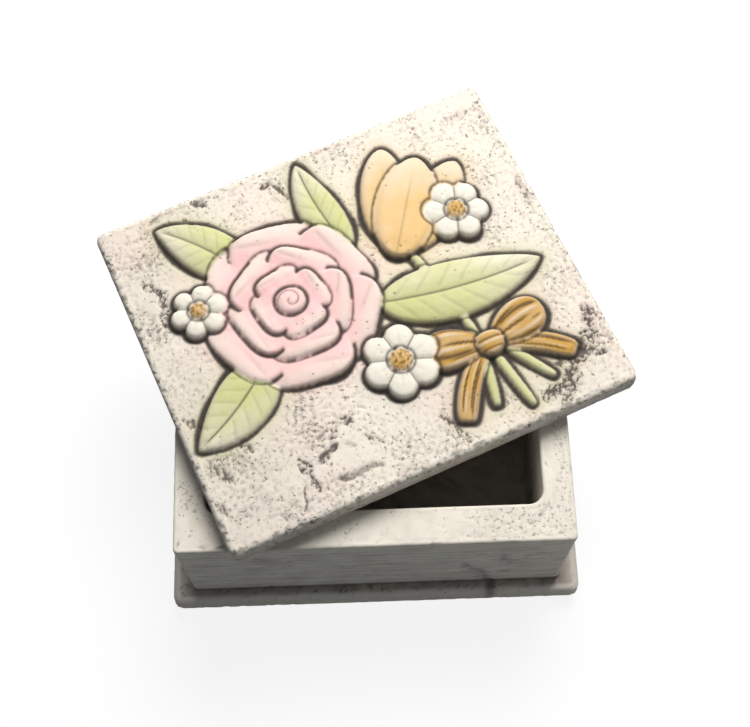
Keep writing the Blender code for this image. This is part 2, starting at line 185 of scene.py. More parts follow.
# The fine lines on the forms: how far they reach aside, how deep they are cut and how high they stand
PARTING_REACH = 0.26 * MM
PARTING_DEPTH = 0.30 * MM
CREASE_REACH = 0.24 * MM
CREASE_DEPTH = 0.10 * MM
EYE_BUMP_SIZE = 0.62 * MM
EYE_BUMP_HEIGHT = 0.22 * MM
MIDRIB_REACH = 0.30 * MM
MIDRIB_DEPTH = 0.20 * MM
VEIN_DEPTH = 0.12 * MM
ROLL_DEPTH = 0.14 * MM
FURL_HEIGHT = 0.05 * MM
TULIP_LINE_REACH = 0.32 * MM
TULIP_LINE_DEPTH = 0.16 * MM
TULIP_RIB_HEIGHT = 0.06 * MM
STRAND_HEIGHT = 0.13 * MM
# A ribbon's strands start at another phase for another length, in radians to the metre
STRAND_PHASE = 700
FOLD_DEPTH = 0.24 * MM
KNOT_STRAND = 0.32 * MM
KNOT_FINE_STRAND = 0.17 * MM
KNOT_STRAND_HEIGHT = 0.10 * MM
SWIRL_PITCH = 0.36 * MM
SWIRL_DEPTH = 0.15 * MM

# How deep the ground of the lid lies, and how far its unevenness, its wear and its nibbled edge go
GROUND_SINK = 0.06 * MM
SWELL_HEIGHT = 0.05 * MM
LUMP_HEIGHT = 0.06 * MM
BLOT_DEPTH = 0.15 * MM
MARK_DEPTH = 0.36 * MM
DEEPEST_CUT = 1.2 * MM
NIBBLE_DEPTH = 0.30 * MM
NIBBLE_DROP = 0.10 * MM
# The same for the sides of all three pieces, the plinth's ledge, the walls and the rim
SIDE_ROUGHNESS = 0.10 * MM
LID_SIDE_PITS = 0.35 * MM
PLINTH_SIDE_PITS = 0.22 * MM
WALL_SIDE_PITS = 0.16 * MM
LEDGE_SINK = 0.05 * MM
LEDGE_PITS = 0.15 * MM
LEDGE_SPOTS = 0.12 * MM
WALL_CUT_DEPTH = 0.30 * MM
RIM_SINK = 0.04 * MM
RIM_DENTS = 0.08 * MM
RIM_PITS = 0.10 * MM
RIM_CUT_DEPTH = 0.14 * MM
# How far painted shadow reaches from the tray's foot, over the ledge and up the wall, and a stain aside
LEDGE_PAINTED_SHADOW = 0.9 * MM
FOOT_PAINTED_SHADOW = 1.9 * MM
STAIN_REACH = 1.5 * MM
STAIN_WAVER = 0.8 * MM
SIDE_STAIN_REACH = 1.6 * MM
# How a course's groove wavers, and where and how wide the painted highlight along its lower edge lies
GROOVE_WAVER = 0.16 * MM
HIGHLIGHT_DROP = 0.55 * MM
HIGHLIGHT_REACH = 0.24 * MM

# Marks are rows of millimetres on their piece: from across and back, to across and back, half width,
# and then a strength. On the lid, first where its ground is worn, then single cuts
LID_WEAR = (
    (41.4, -19.5, 40.5, -24.8, 2.0, 0.95), (40.5, -24.8, 33.0, -30.2, 2.9, 1.0),
    (33.0, -30.2, 28.5, -37.1, 2.5, 1.0), (41.3, -30.0, 37.8, -28.9, 1.2, 0.8),
    (25.5, -33.9, 29.1, -33.4, 2.2, 0.95), (31.0, -27.2, 31.4, -29.0, 1.4, 0.8),
    (-13.8, -20.7, -12.7, -22.6, 1.6, 0.9), (-15.7, -21.9, -17.1, -24.2, 1.0, 0.8),
    (-21.7, -27.2, -17.1, -25.6, 1.3, 0.95), (-16.0, -25.4, -13.6, -27.2, 0.8, 0.55),
    (-24.8, -25.5, -23.9, -29.7, 1.6, 1.0), (-23.9, -29.7, -23.6, -32.5, 1.3, 0.8),
    (-11.2, -25.6, -8.1, -28.8, 0.9, 0.7), (-28.7, -32.4, -30.7, -34.2, 1.6, 0.55),
    (-22.8, 36.4, -20.4, 34.7, 1.0, 0.8), (-29.3, 36.4, -32.9, 35.2, 1.3, 0.62),
    (-37.3, 32.9, -32.9, 33.9, 1.5, 0.58), (-25.9, 33.3, -24.5, 30.1, 1.1, 0.9),
    (-38.9, 22.4, -35.6, 18.9, 1.8, 0.9), (-36.4, 18.8, -38.2, 12.4, 1.6, 0.85),
    (-8.8, 33.8, -5.8, 33.8, 0.9, 0.85), (-5.8, 33.8, -3.7, 28.8, 0.9, 0.8),
    (-42.6, -8.1, -39.1, -12.7, 1.6, 0.75), (-41.5, -14.4, -39.7, -17.7, 1.4, 0.7),
    (-41.2, -18.8, -39.1, -23.6, 1.6, 0.75), (-34.8, -15.7, -32.6, -19.8, 1.2, 0.7),
    (-42.7, -27.1, -41.4, -30.1, 1.3, 0.7), (35.2, 32.3, 41.2, 32.2, 1.2, 0.6),
    (42.4, 13.5, 42.1, 6.1, 1.3, 0.6), (4.4, -28.4, 7.5, -35.6, 1.3, 0.7),
    (-2.4, -36.4, -8.7, -36.2, 1.0, 0.6),
)
LID_CUTS = (
    (-21.5, -27.2, -17.4, -25.9, 0.62, 0.95), (-19.1, -32.1, -10.2, -32.9, 0.72, 0.85),
    (-18.9, -32.0, -17.9, -32.3, 0.60, 1.0), (-25.7, -30.9, -28.0, -35.4, 0.36, 1.0),
    (-5.2, -31.8, -3.6, -32.3, 0.30, 0.9), (-10.2, -19.5, -8.2, -20.9, 0.30, 0.7),
    (-32.7, -34.1, -31.7, -35.6, 0.42, 0.85), (-29.5, -36.9, -29.1, -37.6, 0.50, 1.0),
    (-32.7, -36.9, -32.2, -37.4, 0.40, 0.8), (-22.6, 36.9, -20.1, 34.3, 0.45, 0.75),
    (-26.1, 31.6, -24.5, 30.1, 0.36, 1.0), (-8.8, 33.8, -6.0, 33.9, 0.42, 0.85),
    (-5.7, 33.5, -3.8, 29.1, 0.40, 0.85), (-32.3, 35.5, -29.5, 36.8, 0.45, 0.6),
    (-43.2, -27.2, -41.8, -30.1, 0.42, 0.75), (-19.7, -22.8, -18.7, -22.8, 0.40, 0.8),
    (39.4, -34.6, 40.0, -35.1, 0.30, 0.8), (12.4, -36.2, 13.5, -36.3, 0.30, 0.6),
)
LID_SPECKS = 150
# On the front wall, across from the middle and height over the foot
WALL_WEAR = (
    (-24.3, 26.1, -21.7, 20.4, 3.0, 0.80), (-21.5, 23.9, -17.7, 18.9, 1.8, 0.6),
    (-26.5, 15.7, -25.4, 16.4, 1.4, 0.7), (18.8, 14.4, 24.1, 0.2, 2.4, 0.75),
    (25.2, 18.8, 31.0, 14.4, 2.4, 0.65),
)
WALL_CUTS = (
    (23.1, 22.6, 25.3, 22.3, 0.40, 0.8), (25.3, 22.3, 27.0, 17.7, 0.50, 0.9),
    (27.0, 17.7, 27.9, 14.2, 0.50, 0.6), (28.9, 12.2, 30.4, 11.8, 0.50, 0.5),
    (30.6, 20.4, 31.2, 22.1, 0.45, 0.75), (31.2, 22.1, 34.2, 22.9, 0.40, 0.7),
    (27.1, 8.5, 27.6, 7.4, 0.60, 0.8), (17.9, 16.3, 20.1, 11.4, 0.50, 0.8),
    (20.1, 11.4, 21.7, 9.3, 0.50, 0.9), (21.7, 9.3, 23.0, 5.3, 0.55, 0.9),
    (23.0, 5.3, 24.9, 0.0, 0.60, 0.9), (21.1, 5.6, 22.5, 3.4, 0.45, 0.7),
    (-22.9, 24.6, -20.8, 24.2, 0.45, 0.8), (-24.6, 17.2, -24.0, 16.2, 0.50, 0.7),
)
WALL_PITS = 70
WALL_PITS_LOW = 1
WALL_PITS_HIGH = 31
# On the plinth's front ledge: spots, and how far across a dark stain runs down its side
LEDGE_CUTS = (
    (-13.2, -36.0, -12.9, -36.1, 0.40, 0.9), (-28.0, -37.0, -27.5, -37.1, 0.40, 0.8),
    (-8.0, -36.6, -6.6, -36.9, 0.35, 0.6), (8.4, -36.2, 9.4, -36.6, 0.35, 0.6),
    (33.0, -36.4, 33.4, -36.8, 0.40, 0.7), (-38.0, -33.0, -37.2, -33.6, 0.40, 0.6),
)
STAIN_ACROSS = 24.8 * MM
# On the rim, across and back from the middle: a pitted trail round the right front corner, spots and chips
RIM_CUTS = (
    (36.4, -24.3, 35.4, -27.0, 0.30, 0.6), (35.4, -27.0, 33.8, -28.6, 0.34, 0.7),
    (33.8, -28.6, 32.0, -31.2, 0.36, 0.8), (32.0, -31.2, 29.7, -31.1, 0.32, 0.7),
    (29.7, -31.1, 26.9, -31.2, 0.28, 0.6), (26.9, -31.2, 24.9, -30.7, 0.28, 0.5),
    (35.7, -30.5, 36.0, -30.7, 0.40, 0.6), (37.3, -32.6, 37.7, -32.8, 0.35, 0.5),
    (27.5, -33.8, 28.1, -33.9, 0.42, 0.8), (33.5, -33.7, 33.9, -33.8, 0.40, 0.7),
    (13.6, -32.5, 13.9, -32.8, 0.30, 0.5), (14.7, -33.2, 15.3, -33.6, 0.35, 0.4),
    (22.7, -31.2, 23.1, -31.7, 0.35, 0.5), (34.6, -18.8, 34.8, -19.3, 0.45, 0.9),
    (34.9, -15.7, 35.1, -15.9, 0.40, 0.8), (38.5, -16.2, 37.8, -21.7, 0.30, 0.55),
    (-39.4, -21.9, -37.5, -20.3, 0.40, 0.65),
    (-37.5, -22.2, -37.1, -22.6, 0.30, 0.7), (-36.9, -24.2, -36.7, -24.5, 0.26, 0.6),
    (-39.2, -26.4, -39.0, -26.6, 0.28, 0.6), (-36.4, -30.4, -36.2, -30.8, 0.30, 0.85),
    (-34.7, -33.8, -34.0, -33.8, 0.50, 1.0), (-30.8, -33.8, -29.6, -33.9, 0.55, 1.0),
    (-39.4, -32.3, -38.9, -33.6, 0.45, 0.8),
)

# The cells of the meshes, and how many steps they take over roundings, rim, hollow and floor
LID_CELL = 0.295 * MM
PLINTH_CELL = 0.60 * MM
WALL_ROW = 0.26 * MM
WALL_COLUMN = 0.75 * MM
LID_SIDE_ROWS = 9
PLINTH_SIDE_ROWS = 8
SLAB_ROUNDING_STEPS = 5
CORNER_STEPS = 6
RIM_ROUNDING_STEPS = 4
RIM_ROWS = 20
HOLLOW_ROWS = 24
FLOOR_ROWS = 9

# The photo's camera, turned about a point on the ground
CAMERA_TARGET = (1.55 * MM, 19.29 * MM, 0.0)
CAMERA_DISTANCE = 324.5 * MM
CAMERA_AZIMUTH = math.radians(-1.42)
CAMERA_ELEVATION = math.radians(68.44)
CAMERA_ROLL = math.radians(-0.57)
CAMERA_LENS = 65.5
CAMERA_SENSOR = 36.0

# Each lamp's place, size, power and colour
KEY_LAMP = ((0.07, 0.27, 0.43), 0.34, 3.1, (1.0, 0.975, 0.94))
FILL_LAMP = ((0.18, -0.12, 0.07), 0.10, 0.028, (1.0, 0.98, 0.96))
# The sky's light, and the floor as the object sees it and as the camera does, with its own glow
SKY_COLOUR = (0.84, 0.93, 1.0)
SKY_STRENGTH = 0.13
FLOOR_SIZE = 3.0
FLOOR_BOUNCE = (0.24, 0.25, 0.26)
FLOOR_SEEN = (0.17, 0.17, 0.17)
FLOOR_GLOW = (0.87, 0.87, 0.87)

# The colours of wash, which also lays painted shade, of speckles, soft shade and painted highlights, and of
# the paints in the order they lie
WASH_AND_PAINTED_SHADE = (0.048, 0.040, 0.034)
SPECKLE = (0.14, 0.115, 0.10)
SHADE = ("shade", (0.33, 0.275, 0.25))
PAINTED_HIGHLIGHT = ("painted_highlight", (0.98, 0.95, 0.88))
PAINTS = (
    SHADE,
    ("cream", (0.84, 0.80, 0.70)),
    ("pink", (0.93, 0.58, 0.57)),
    ("green", (0.60, 0.61, 0.28)),
    ("ochre", (0.80, 0.54, 0.24)),
    ("honey", (0.57, 0.325, 0.065)),
    ("umber", (0.13, 0.065, 0.016)),
)
# Each piece's two tones of plaster, then how strong its pores, speckles and wash with painted shade are and
# how high its bumps
LID_PLASTER = ((0.88, 0.82, 0.715), (0.82, 0.75, 0.665))
LID_FINISH = dict(pores=0.7, speckle=0.72, amount=1.0, bump=0.10 * MM)
WALL_PLASTER = ((0.87, 0.82, 0.725), (0.81, 0.755, 0.665))
WALL_FINISH = dict(pores=0.6, speckle=0.5, amount=0.95, bump=0.06 * MM)
FOOT_PLASTER = ((0.86, 0.79, 0.69), (0.78, 0.70, 0.60))
FOOT_FINISH = dict(pores=0.6, speckle=0.4, amount=0.95, bump=0.06 * MM)
TRAY_SPECKLE = 0.35
SHEEN = 0.25
# The scales of the grain in the materials, in cells to the metre
FINE_SCALE = 2600
MIDDLE_SCALE = 700
DRIFT_SCALE = 60
PORE_SCALE = 700
PORE_FIELD_SCALE = 260
SPECKLE_SCALE = 1300
WASH_AND_SHADE_SCALE = 1500
SPRAY_SCALE = 150
# The kinds of socket that the node groups have
VECTOR = "NodeSocketVector"
FLOAT = "NodeSocketFloat"
COLOUR = "NodeSocketColor"

# Farther than any two points of the lid lie apart
FAR = 1.0
seeded = random.Random(7)


def grain(points, size, shift=0.0):
    """Smooth noise from about -1 to 1 at points, with features of this size. The shift picks its pattern."""
    scaled = points / size + shift
    return np.array([noise.noise(p) for p in scaled.tolist()])


def on_level(flat, height=0.0):
    """Flat points as points in space, all at one height."""
    return np.column_stack([flat, np.full(len(flat), height)])


def smooth_step(low, high, values):
    t = np.clip((values - low) / (high - low), 0, 1)
    return t * t * (3 - 2 * t)


def ridge(distance, reach):
    return np.exp(-((distance / reach) ** 2))


def eased(values, table):
    """A table of (place, height) rows read as a smooth curve."""
    knots = np.array(table)
    fine = np.linspace(knots[0, 0], knots[-1, 0], 161)
    curve = np.interp(fine, knots[:, 0], knots[:, 1])
    for _ in range(2):
        curve = np.convolve(np.pad(curve, 4, mode="edge"), np.full(9, 1 / 9), "valid")
    return np.interp(values, fine, curve)


def half_width(form, along):
    root_power, tip_power = POWERS[form["kind"]]
    widest = root_power / (root_power + tip_power)
    fullest = widest**root_power * (1 - widest) ** tip_power
    return form["width"] / 2 * along**root_power * (1 - along) ** tip_power / fullest


def petal(kind, paint, place, heading, length, width, bend, lift, crown, stations=18):
    """A petal-shaped form: its spine bends evenly, and its width swells and dies away."""
    form = dict(kind=kind, paint=paint, length=length * RELIEF_SCALE, width=width * RELIEF_SCALE,
                lift=lift, crown=crown, middle=np.array(place))
    along = (1 - np.cos(np.linspace(0, math.pi, stations + 1))) / 2
    before = np.concatenate([[0], along[:-1]])
    way = np.radians(heading + bend * ((along + before) / 2 - 0.5))
    x = place[0] + np.cumsum(form["length"] * (along - before) * np.cos(way))
    y = place[1] + np.cumsum(form["length"] * (along - before) * np.sin(way))
    form["spine"] = np.stack([x, y], 1)
    facing = np.radians(heading + bend * (along - 0.5))
    side = np.stack([-np.sin(facing), np.cos(facing)], 1) * half_width(form, along)[:, None]
    form["outline"] = np.concatenate([form["spine"] - side, (form["spine"] + side)[-2:0:-1]])
    return form


def relief_place(across, back):
    return np.array([across * RELIEF_WIDTH, back * RELIEF_DEPTH])


def petals(kind, paint, rows):
    return [petal(kind, paint, relief_place(*row[:2]), *row[2:]) for row in rows]


def rose():
    middle = relief_place(*ROSE_PLACE)
    forms = []
    for count, (first, length, width, lift, crown) in zip(ROSE_RINGS, ROSE_RING_ROWS):
        for k in range(count):
            heading = first + 360 * k / count
            forms.append(petal("rose", "pink", middle, heading, length, width, 0, lift, crown))
    length, width, lift, crown = ROSE_BUD
    bud = petal("bud", "pink", middle - (length * RELIEF_SCALE / 2, 0), 0, length, width, 0, lift, crown)
    bud["middle"] = middle
    return forms + [bud]


def blossom_reach(angle, heading):
    """How far a blossom's rim reaches at angles, as a share, and how near a petal's middle each lies."""
    lobe = np.abs(np.cos(BLOSSOM_PETALS * (angle - math.radians(heading)) / 2)) ** BLOSSOM_LOBE_POWER
    return 1 - BLOSSOM_NOTCH_SHARE + BLOSSOM_NOTCH_SHARE * lobe, lobe


def blossoms():
    forms = []
    angle = np.linspace(0, 2 * math.pi, 60, endpoint=False)
    ring = np.stack([np.cos(angle), np.sin(angle)], 1)
    for across, back, heading, radius in BLOSSOMS:
        place = relief_place(across, back)
        reach = radius * RELIEF_SCALE
        forms.append(dict(
            kind="blossom", paint="cream", middle=place, heading=heading, length=reach,
            outline=place + reach * blossom_reach(angle, heading)[0][:, None] * ring,
            lift=BLOSSOM_LIFT_SHARE, crown=BLOSSOM_CROWN_SHARE,
        ))
        forms.append(dict(
            kind="eye", paint="honey", middle=place, heading=heading, length=EYE_RADIUS_SHARE * reach,
            outline=place + EYE_RADIUS_SHARE * reach * ring, lift=EYE_LIFT_SHARE, crown=EYE_CROWN_SHARE,
        ))
    return forms


def bouquet():
    """All the forms, the hindmost first."""
    forms = petals("stem", "green", STEMS) + petals("leaf", "green", LEAVES)
    forms += petals("tulip", "ochre", TULIP) + petals("tail", "honey", TAILS)
    forms += petals("loop", "honey", LOOPS) + petals("knot", "honey", KNOTS)
    forms += rose() + blossoms()
    layer = 0
    for before, form in zip([None] + forms, forms):
        same_ring = before and form["kind"] == "rose" == before["kind"] and form["lift"] == before["lift"]
        layer += 0 if same_ring else 1
        form["layer"] = layer
    return forms


def signed_depth(points, outline):
    """How deep points lie inside a closed outline, negative outside, and which of its edges is nearest."""
    nearest = np.full(len(points), FAR)
    corner = np.zeros(len(points), int)
    inside = np.zeros(len(points), bool)
    for k, (a, b) in enumerate(zip(outline, np.roll(outline, -1, 0))):
        edge = b - a
        if edge @ edge == 0:
            continue
        offset = points - a
        t = np.clip(offset @ edge / (edge @ edge), 0, 1)
        distance = np.hypot(offset[:, 0] - t * edge[0], offset[:, 1] - t * edge[1])
        corner = np.where(distance < nearest, k, corner)
        nearest = np.minimum(nearest, distance)
        if edge[1]:
            crossing = (a[1] > points[:, 1]) != (b[1] > points[:, 1])
            inside ^= crossing & (points[:, 0] < a[0] + offset[:, 1] * edge[0] / edge[1])
    return np.where(inside, nearest, -nearest), corner


def spine_places(points, form):
    """Each point's place along the form's spine from 0 to 1, its share of the way from there to the form's
    edge, and its distance from the spine. The last two are negative on the right."""
    spine = form["spine"]
    best = np.full(len(points), FAR)
    along = np.zeros(len(points))
    across = np.zeros(len(points))
    steps = np.hypot(*np.diff(spine, axis=0).T)
    ends = np.concatenate([[0], np.cumsum(steps)]) / steps.sum()
    for k, (a, b) in enumerate(zip(spine, spine[1:])):
        edge = b - a
        offset = points - a
        t = np.clip(offset @ edge / (edge @ edge), 0, 1)
        away = offset - t[:, None] * edge
        distance = np.hypot(away[:, 0], away[:, 1])
        nearer = distance < best
        best = np.where(nearer, distance, best)
        along = np.where(nearer, ends[k] + t * (ends[k + 1] - ends[k]), along)
        side = np.sign(edge[0] * offset[:, 1] - edge[1] * offset[:, 0])
        across = np.where(nearer, side * distance, across)
    edge = np.maximum(half_width(form, np.clip(along, 0.002, 0.998)), NARROWEST)
    return along, np.clip(across / edge, -1, 1), across


def vein_lines(along, share):
    """Slanting side veins of a leaf, from 0 to 1."""
    wave = np.abs((along * 7.5 - np.abs(share) * 1.2) % 1 - 0.5)
    return ridge(wave, 0.10) * smooth_step(0.06, 0.2, np.abs(share)) * smooth_step(0.98, 0.7, np.abs(share))


def carve_blossom(form, points):
    """A blossom's crown, with partings between its petals and a crease down each."""
    offset = points - form["middle"]
    radius = np.hypot(offset[:, 0], offset[:, 1])
    angle = np.arctan2(offset[:, 1], offset[:, 0])
    reach, lobe = blossom_reach(angle, form["heading"])
    share = radius / (form["length"] * reach)
    turn = 2 * math.pi / BLOSSOM_PETALS
    aside = np.abs((angle - math.radians(form["heading"]) + turn / 2) % turn - turn / 2)
    parting = ridge(radius * np.sin(turn / 2 - aside), PARTING_REACH) * smooth_step(0.28, 0.5, share)
    crease = ridge(radius * np.sin(aside), CREASE_REACH) * smooth_step(0.85, 0.45, share)
    crown = eased(share, BLOSSOM_CLOSING) * (0.25 + 0.75 * lobe)
    extra = -PARTING_DEPTH * parting - CREASE_DEPTH * crease
    groove = np.maximum(0.80 * parting, 0.30 * crease)
    return crown, extra, groove, 0.95 - 0.35 * smooth_step(0.6, 0.3, share)


def carve_eye(form, points):
    """A blossom's eye, a low button of small bumps."""
    share = np.hypot(*(points - form["middle"]).T) / form["length"]
    bumps = grain(on_level(points), EYE_BUMP_SIZE, 5.0)
    groove = 0.75 * smooth_step(0.05, 0.40, -bumps)
    strength = 0.95 - 0.30 * smooth_step(0.0, 0.4, bumps)
    return eased(share, EYE_CLOSING), EYE_BUMP_HEIGHT * bumps, groove, strength


# The next carvers are for forms along a spine. Each returns what it adds to the height, its grooves and its
# paint's strength. They know each point's place along, share and distance across, radius and angle from the
# form's middle, and the form's length and lift
def carve_stem(at):
    plain = np.zeros(len(at.along))
    return plain, plain, plain + 0.9


def carve_leaf(at):
    """A midrib and side veins, and paint that fades to the tip and to the left."""
    midrib = ridge(at.across, MIDRIB_REACH) * smooth_step(1.0, 0.85, at.along)
    veins = vein_lines(at.along, at.share)
    strength = 0.98 - 0.55 * smooth_step(0.35, 1.0, at.along) - 0.25 * smooth_step(-0.1, 0.8, at.share)
    return -MIDRIB_DEPTH * midrib - VEIN_DEPTH * veins, np.maximum(0.80 * midrib, 0.34 * veins), strength


def carve_rose_petal(at):
    """A line under the rolled lip, and soft furls down the petal."""
    roll = ridge(at.along - 0.775 - 0.05 * at.share, 0.030) * smooth_step(-0.25, 0.5, at.share)
    roll = roll * smooth_step(0.98, 0.75, at.share)
    furls = np.cos(at.share * 10 + at.lift * 30) * smooth_step(0.98, 0.60, at.along)
    strength = 1.0 - 0.62 * smooth_step(0.62, 0.93, at.along)
    return FURL_HEIGHT * furls - ROLL_DEPTH * roll, 0.34 * roll, strength


def carve_tulip_petal(at):
    """A line down the middle between soft ribs."""
    middle = ridge(at.across, TULIP_LINE_REACH) * smooth_step(0.95, 0.55, at.along)
    ribs = np.cos(at.share * 9) * smooth_step(1.0, 0.5, at.along)
    strength = 0.98 - 0.55 * smooth_step(0.45, 1.0, at.along) - 0.20 * smooth_step(0.1, 0.9, at.share)
    return TULIP_RIB_HEIGHT * ribs - TULIP_LINE_DEPTH * middle, 0.45 * middle, strength


def carve_ribbon(at):
    """The strands of a ribbon's tail or loop, and a fold along its left."""
    strands = 0.6 * np.cos(at.share * 9 + 2.5 * at.along + at.length * STRAND_PHASE)
    strands = (strands + 0.4 * np.cos(at.share * 17 - 3 * at.along)) * smooth_step(1.0, 0.8, at.along)
    fold = ridge(at.share - 0.45, 0.10) * smooth_step(0.15, 0.35, at.along)
    fold = fold * smooth_step(1.0, 0.85, at.along)
    groove = np.maximum(0.85 * smooth_step(0.25, 0.75, -strands), 0.95 * fold)
    strength = 0.92 - 0.44 * smooth_step(0.1, 1.0, strands) * smooth_step(0.05, 0.3, at.along)
    return STRAND_HEIGHT * strands - FOLD_DEPTH * fold, groove, strength


def carve_knot(at):
    """The strands of the ribbon where it is wound round."""
    strands = 0.7 * np.cos(at.across / KNOT_STRAND + 0.6) + 0.3 * np.cos(at.across / KNOT_FINE_STRAND)
    groove = 0.85 * smooth_step(0.25, 0.80, -strands)
    return KNOT_STRAND_HEIGHT * strands, groove, 0.92 - 0.44 * smooth_step(0.1, 1.0, strands)


def carve_bud(at):
    """The spiral in the middle of the rose."""
    swirl = np.sin(at.angle - at.radius / SWIRL_PITCH)
    groove = 0.60 * smooth_step(0.45, 1.0, swirl)
    return -SWIRL_DEPTH * smooth_step(0.1, 1.0, swirl), groove, 0.9 - 0.35 * smooth_step(0.3, -0.8, swirl)


CARVERS = {
    "stem": carve_stem, "leaf": carve_leaf, "tulip": carve_tulip_petal, "tail": carve_ribbon,
    "loop": carve_ribbon, "knot": carve_knot, "rose": carve_rose_petal, "bud": carve_bud,
}


def model_form(form, points, depth):
    """One form over the points inside it: height, groove mask and how strongly its paint is laid on."""
    kind = form["kind"]
    if kind == "blossom":
        crown, extra, groove, strength = carve_blossom(form, points)
    elif kind == "eye":
        crown, extra, groove, strength = carve_eye(form, points)
    else:
        along, share, across = spine_places(points, form)
        offset = points - form["middle"]
        extra, groove, strength = CARVERS[kind](SimpleNamespace(
            along=along, share=share, across=across, length=form["length"], lift=form["lift"],
            radius=np.hypot(offset[:, 0], offset[:, 1]), angle=np.arctan2(offset[:, 1], offset[:, 0]),
        ))
        crown = eased(along, CROWN_ALONG[kind]) * eased(share, ACROSS.get(kind, ARCH))
        inner = smooth_step(0, LINES_FADE, depth)
        extra, groove = extra * inner, groove * inner
    shoulder = np.sqrt(1 - (1 - np.clip(depth / SHOULDER, 0, 1)) ** 2)
    base = form["lift"] - RIM_DROP_SHARE * (1 - shoulder)
    height = RELIEF_RISE * (base + form["crown"] * crown) + extra
    return height, groove, strength * (0.62 + 0.38 * smooth_step(0, PAINT_FADE, depth))


def cut_outlines(placed, height, cover, top_layer, paints, drift):
    """The groove round every form, cut into what lies under it, its tint and the soft shade beyond. The
    form's paint is sprayed a little past its edge. Drift says where the groove is wide."""
    width = np.where(cover > 0.5, GROOVE_FINE, GROOVE_NARROW + (GROOVE_WIDE - GROOVE_NARROW) * drift)
    groove, tint, halo = np.zeros((3, len(cover)))
    for form, near, away, rim in placed:
        lapped = (top_layer[near] == form["layer"]) & (rim > height[near])
        under = (top_layer[near] < form["layer"]) | lapped
        near, away = near[under], away[under]
        hard = smooth_step(-SEAM, 0.4 * SEAM, away)
        groove[near] = np.maximum(groove[near], hard * smooth_step(1.0, 0.3, away / width[near]))
        tint[near] = np.maximum(tint[near], hard * smooth_step(1.1, 0.5, away / width[near]))
        halo[near] = np.maximum(halo[near], hard * np.exp(-away / HALO))
        spill = 0.46 * np.exp(-np.maximum(away, 0) / OVERSPRAY) * (1 - cover[near])
        if form["paint"] in ("cream", "honey"):
            spill = spill * 0.5
        mask = paints[form["paint"]]
        mask[near] = np.maximum(mask[near], spill)
    return groove, tint, halo


def relief(points, drift):
    """The bouquet over points of the lid: height, cover, carved lines, outline groove and its tint, soft
    shade and paints. The drift says where the outline groove is wide."""
    height = np.zeros(len(points))
    below = height
    top_layer = np.full(len(points), -1)
    cover, carved, inward = np.zeros((3, len(points)))
    paints = {name: np.zeros(len(points)) for name in ("pink", "green", "ochre", "honey", "umber", "cream")}
    reach = 4 * OVERSPRAY
    placed = []
    layer = -1
    for form in bouquet():
        if form["layer"] != layer:
            layer, below = form["layer"], height.copy()
        low = form["outline"].min(0) - reach
        high = form["outline"].max(0) + reach
        near = np.nonzero(((points > low) & (points < high)).all(1))[0]
        depth, corner = signed_depth(points[near], form["outline"])
        share = smooth_step(-SEAM, SEAM, depth)
        inside = near[share > 0]
        deep = np.maximum(depth[share > 0], 0)
        share = share[share > 0]
        own, groove, strength = model_form(form, points[inside], deep)
        own = below[inside] + (own - below[inside]) * share
        # A form lies over all before it, but petals of one ring lap over each other
        wins = (top_layer[inside] != layer) | (own > height[inside])
        cover[inside] = np.maximum(cover[inside], share)
        gilded = groove if form["paint"] == "honey" else 0 * groove
        goals = {form["paint"]: strength, "umber": gilded}
        for name, mask in paints.items():
            mixed = mask[inside] + (goals.get(name, 0) - mask[inside]) * share
            lapped = np.maximum(mask[inside], mixed) if name == form["paint"] else mask[inside] * (1 - share)
            mask[inside] = np.where(wins, mixed, lapped)
        over, share = inside[wins], share[wins]
        height[over], inward[over], top_layer[over] = own[wins], deep[wins], layer
        carved[over] += (groove[wins] - gilded[wins] * 0.55 - carved[over]) * share
        rim = model_form(form, form["outline"], np.zeros(len(form["outline"])))[0]
        edge = depth < SEAM
        placed.append((form, near[edge], -depth[edge], rim[corner[edge]] + LAP))

    groove, tint, halo = cut_outlines(placed, height, cover, top_layer, paints, drift)
    shade = np.maximum(0.62 * halo, 0.50 * np.exp(-inward / INNER_SHADE) * cover * (0.25 + 0.75 * drift))
    return height, cover, carved, groove, tint, shade, paints


def wavering(points, size, reach):
    """Points shifted by smooth noise, so that straight marks drawn over them waver."""
    level = on_level(points)
    return points + reach * np.column_stack([grain(level, size, 83.0), grain(level, size, 97.0)])


def streaks(points, rows, wobble, outer=1.3, inner=0.5):
    """Marks that taper to both ends, from 0 to 1, with ragged edges. A row gives a mark's ends, half width
    and strength."""
    field = np.zeros(len(points))
    for x0, y0, x1, y1, half, strength in rows:
        start, run = np.array([x0, y0]) * MM, np.array([x1 - x0, y1 - y0]) * MM
        offset = points - start
        t = np.clip(offset @ run / max(run @ run, 1e-12), 0, 1)
        away = np.hypot(offset[:, 0] - t * run[0], offset[:, 1] - t * run[1])
        width = half * MM * (0.60 + 0.55 * np.sin(math.pi * t))
        field = np.maximum(field, strength * smooth_step(outer, inner, away / width + 0.55 * wobble))
    return field


def scattered(count, low, high):
    """Rows of small specks, scattered between two corners in millimetres."""
    rows = []
    for _ in range(count):
        x, y = seeded.uniform(low[0], high[0]), seeded.uniform(low[1], high[1])
        way, length = seeded.uniform(0, math.pi), seeded.uniform(0, 0.7)
        half, strength = seeded.uniform(0.15, 0.36), seeded.uniform(0.3, 0.9)
        rows.append((x, y, x + length * math.cos(way), y + length * math.sin(way), half, strength))
    return rows


def furrows(points, zone):
    """Worm-like furrows and pits where the zone is strong, from 0 to 1."""
    fine = grain(points, 0.6 * MM, 71.0)
    lines = smooth_step(0.26, 0.06, np.abs(grain(points, 1.5 * MM, 31.0) + 0.25 * fine))
    pits = smooth_step(0.16, 0.42, grain(points, 1.0 * MM, 57.0) + 0.3 * fine)
    return smooth_step(0.34, 0.76, zone * (0.22 + 0.80 * np.maximum(lines, pits)))


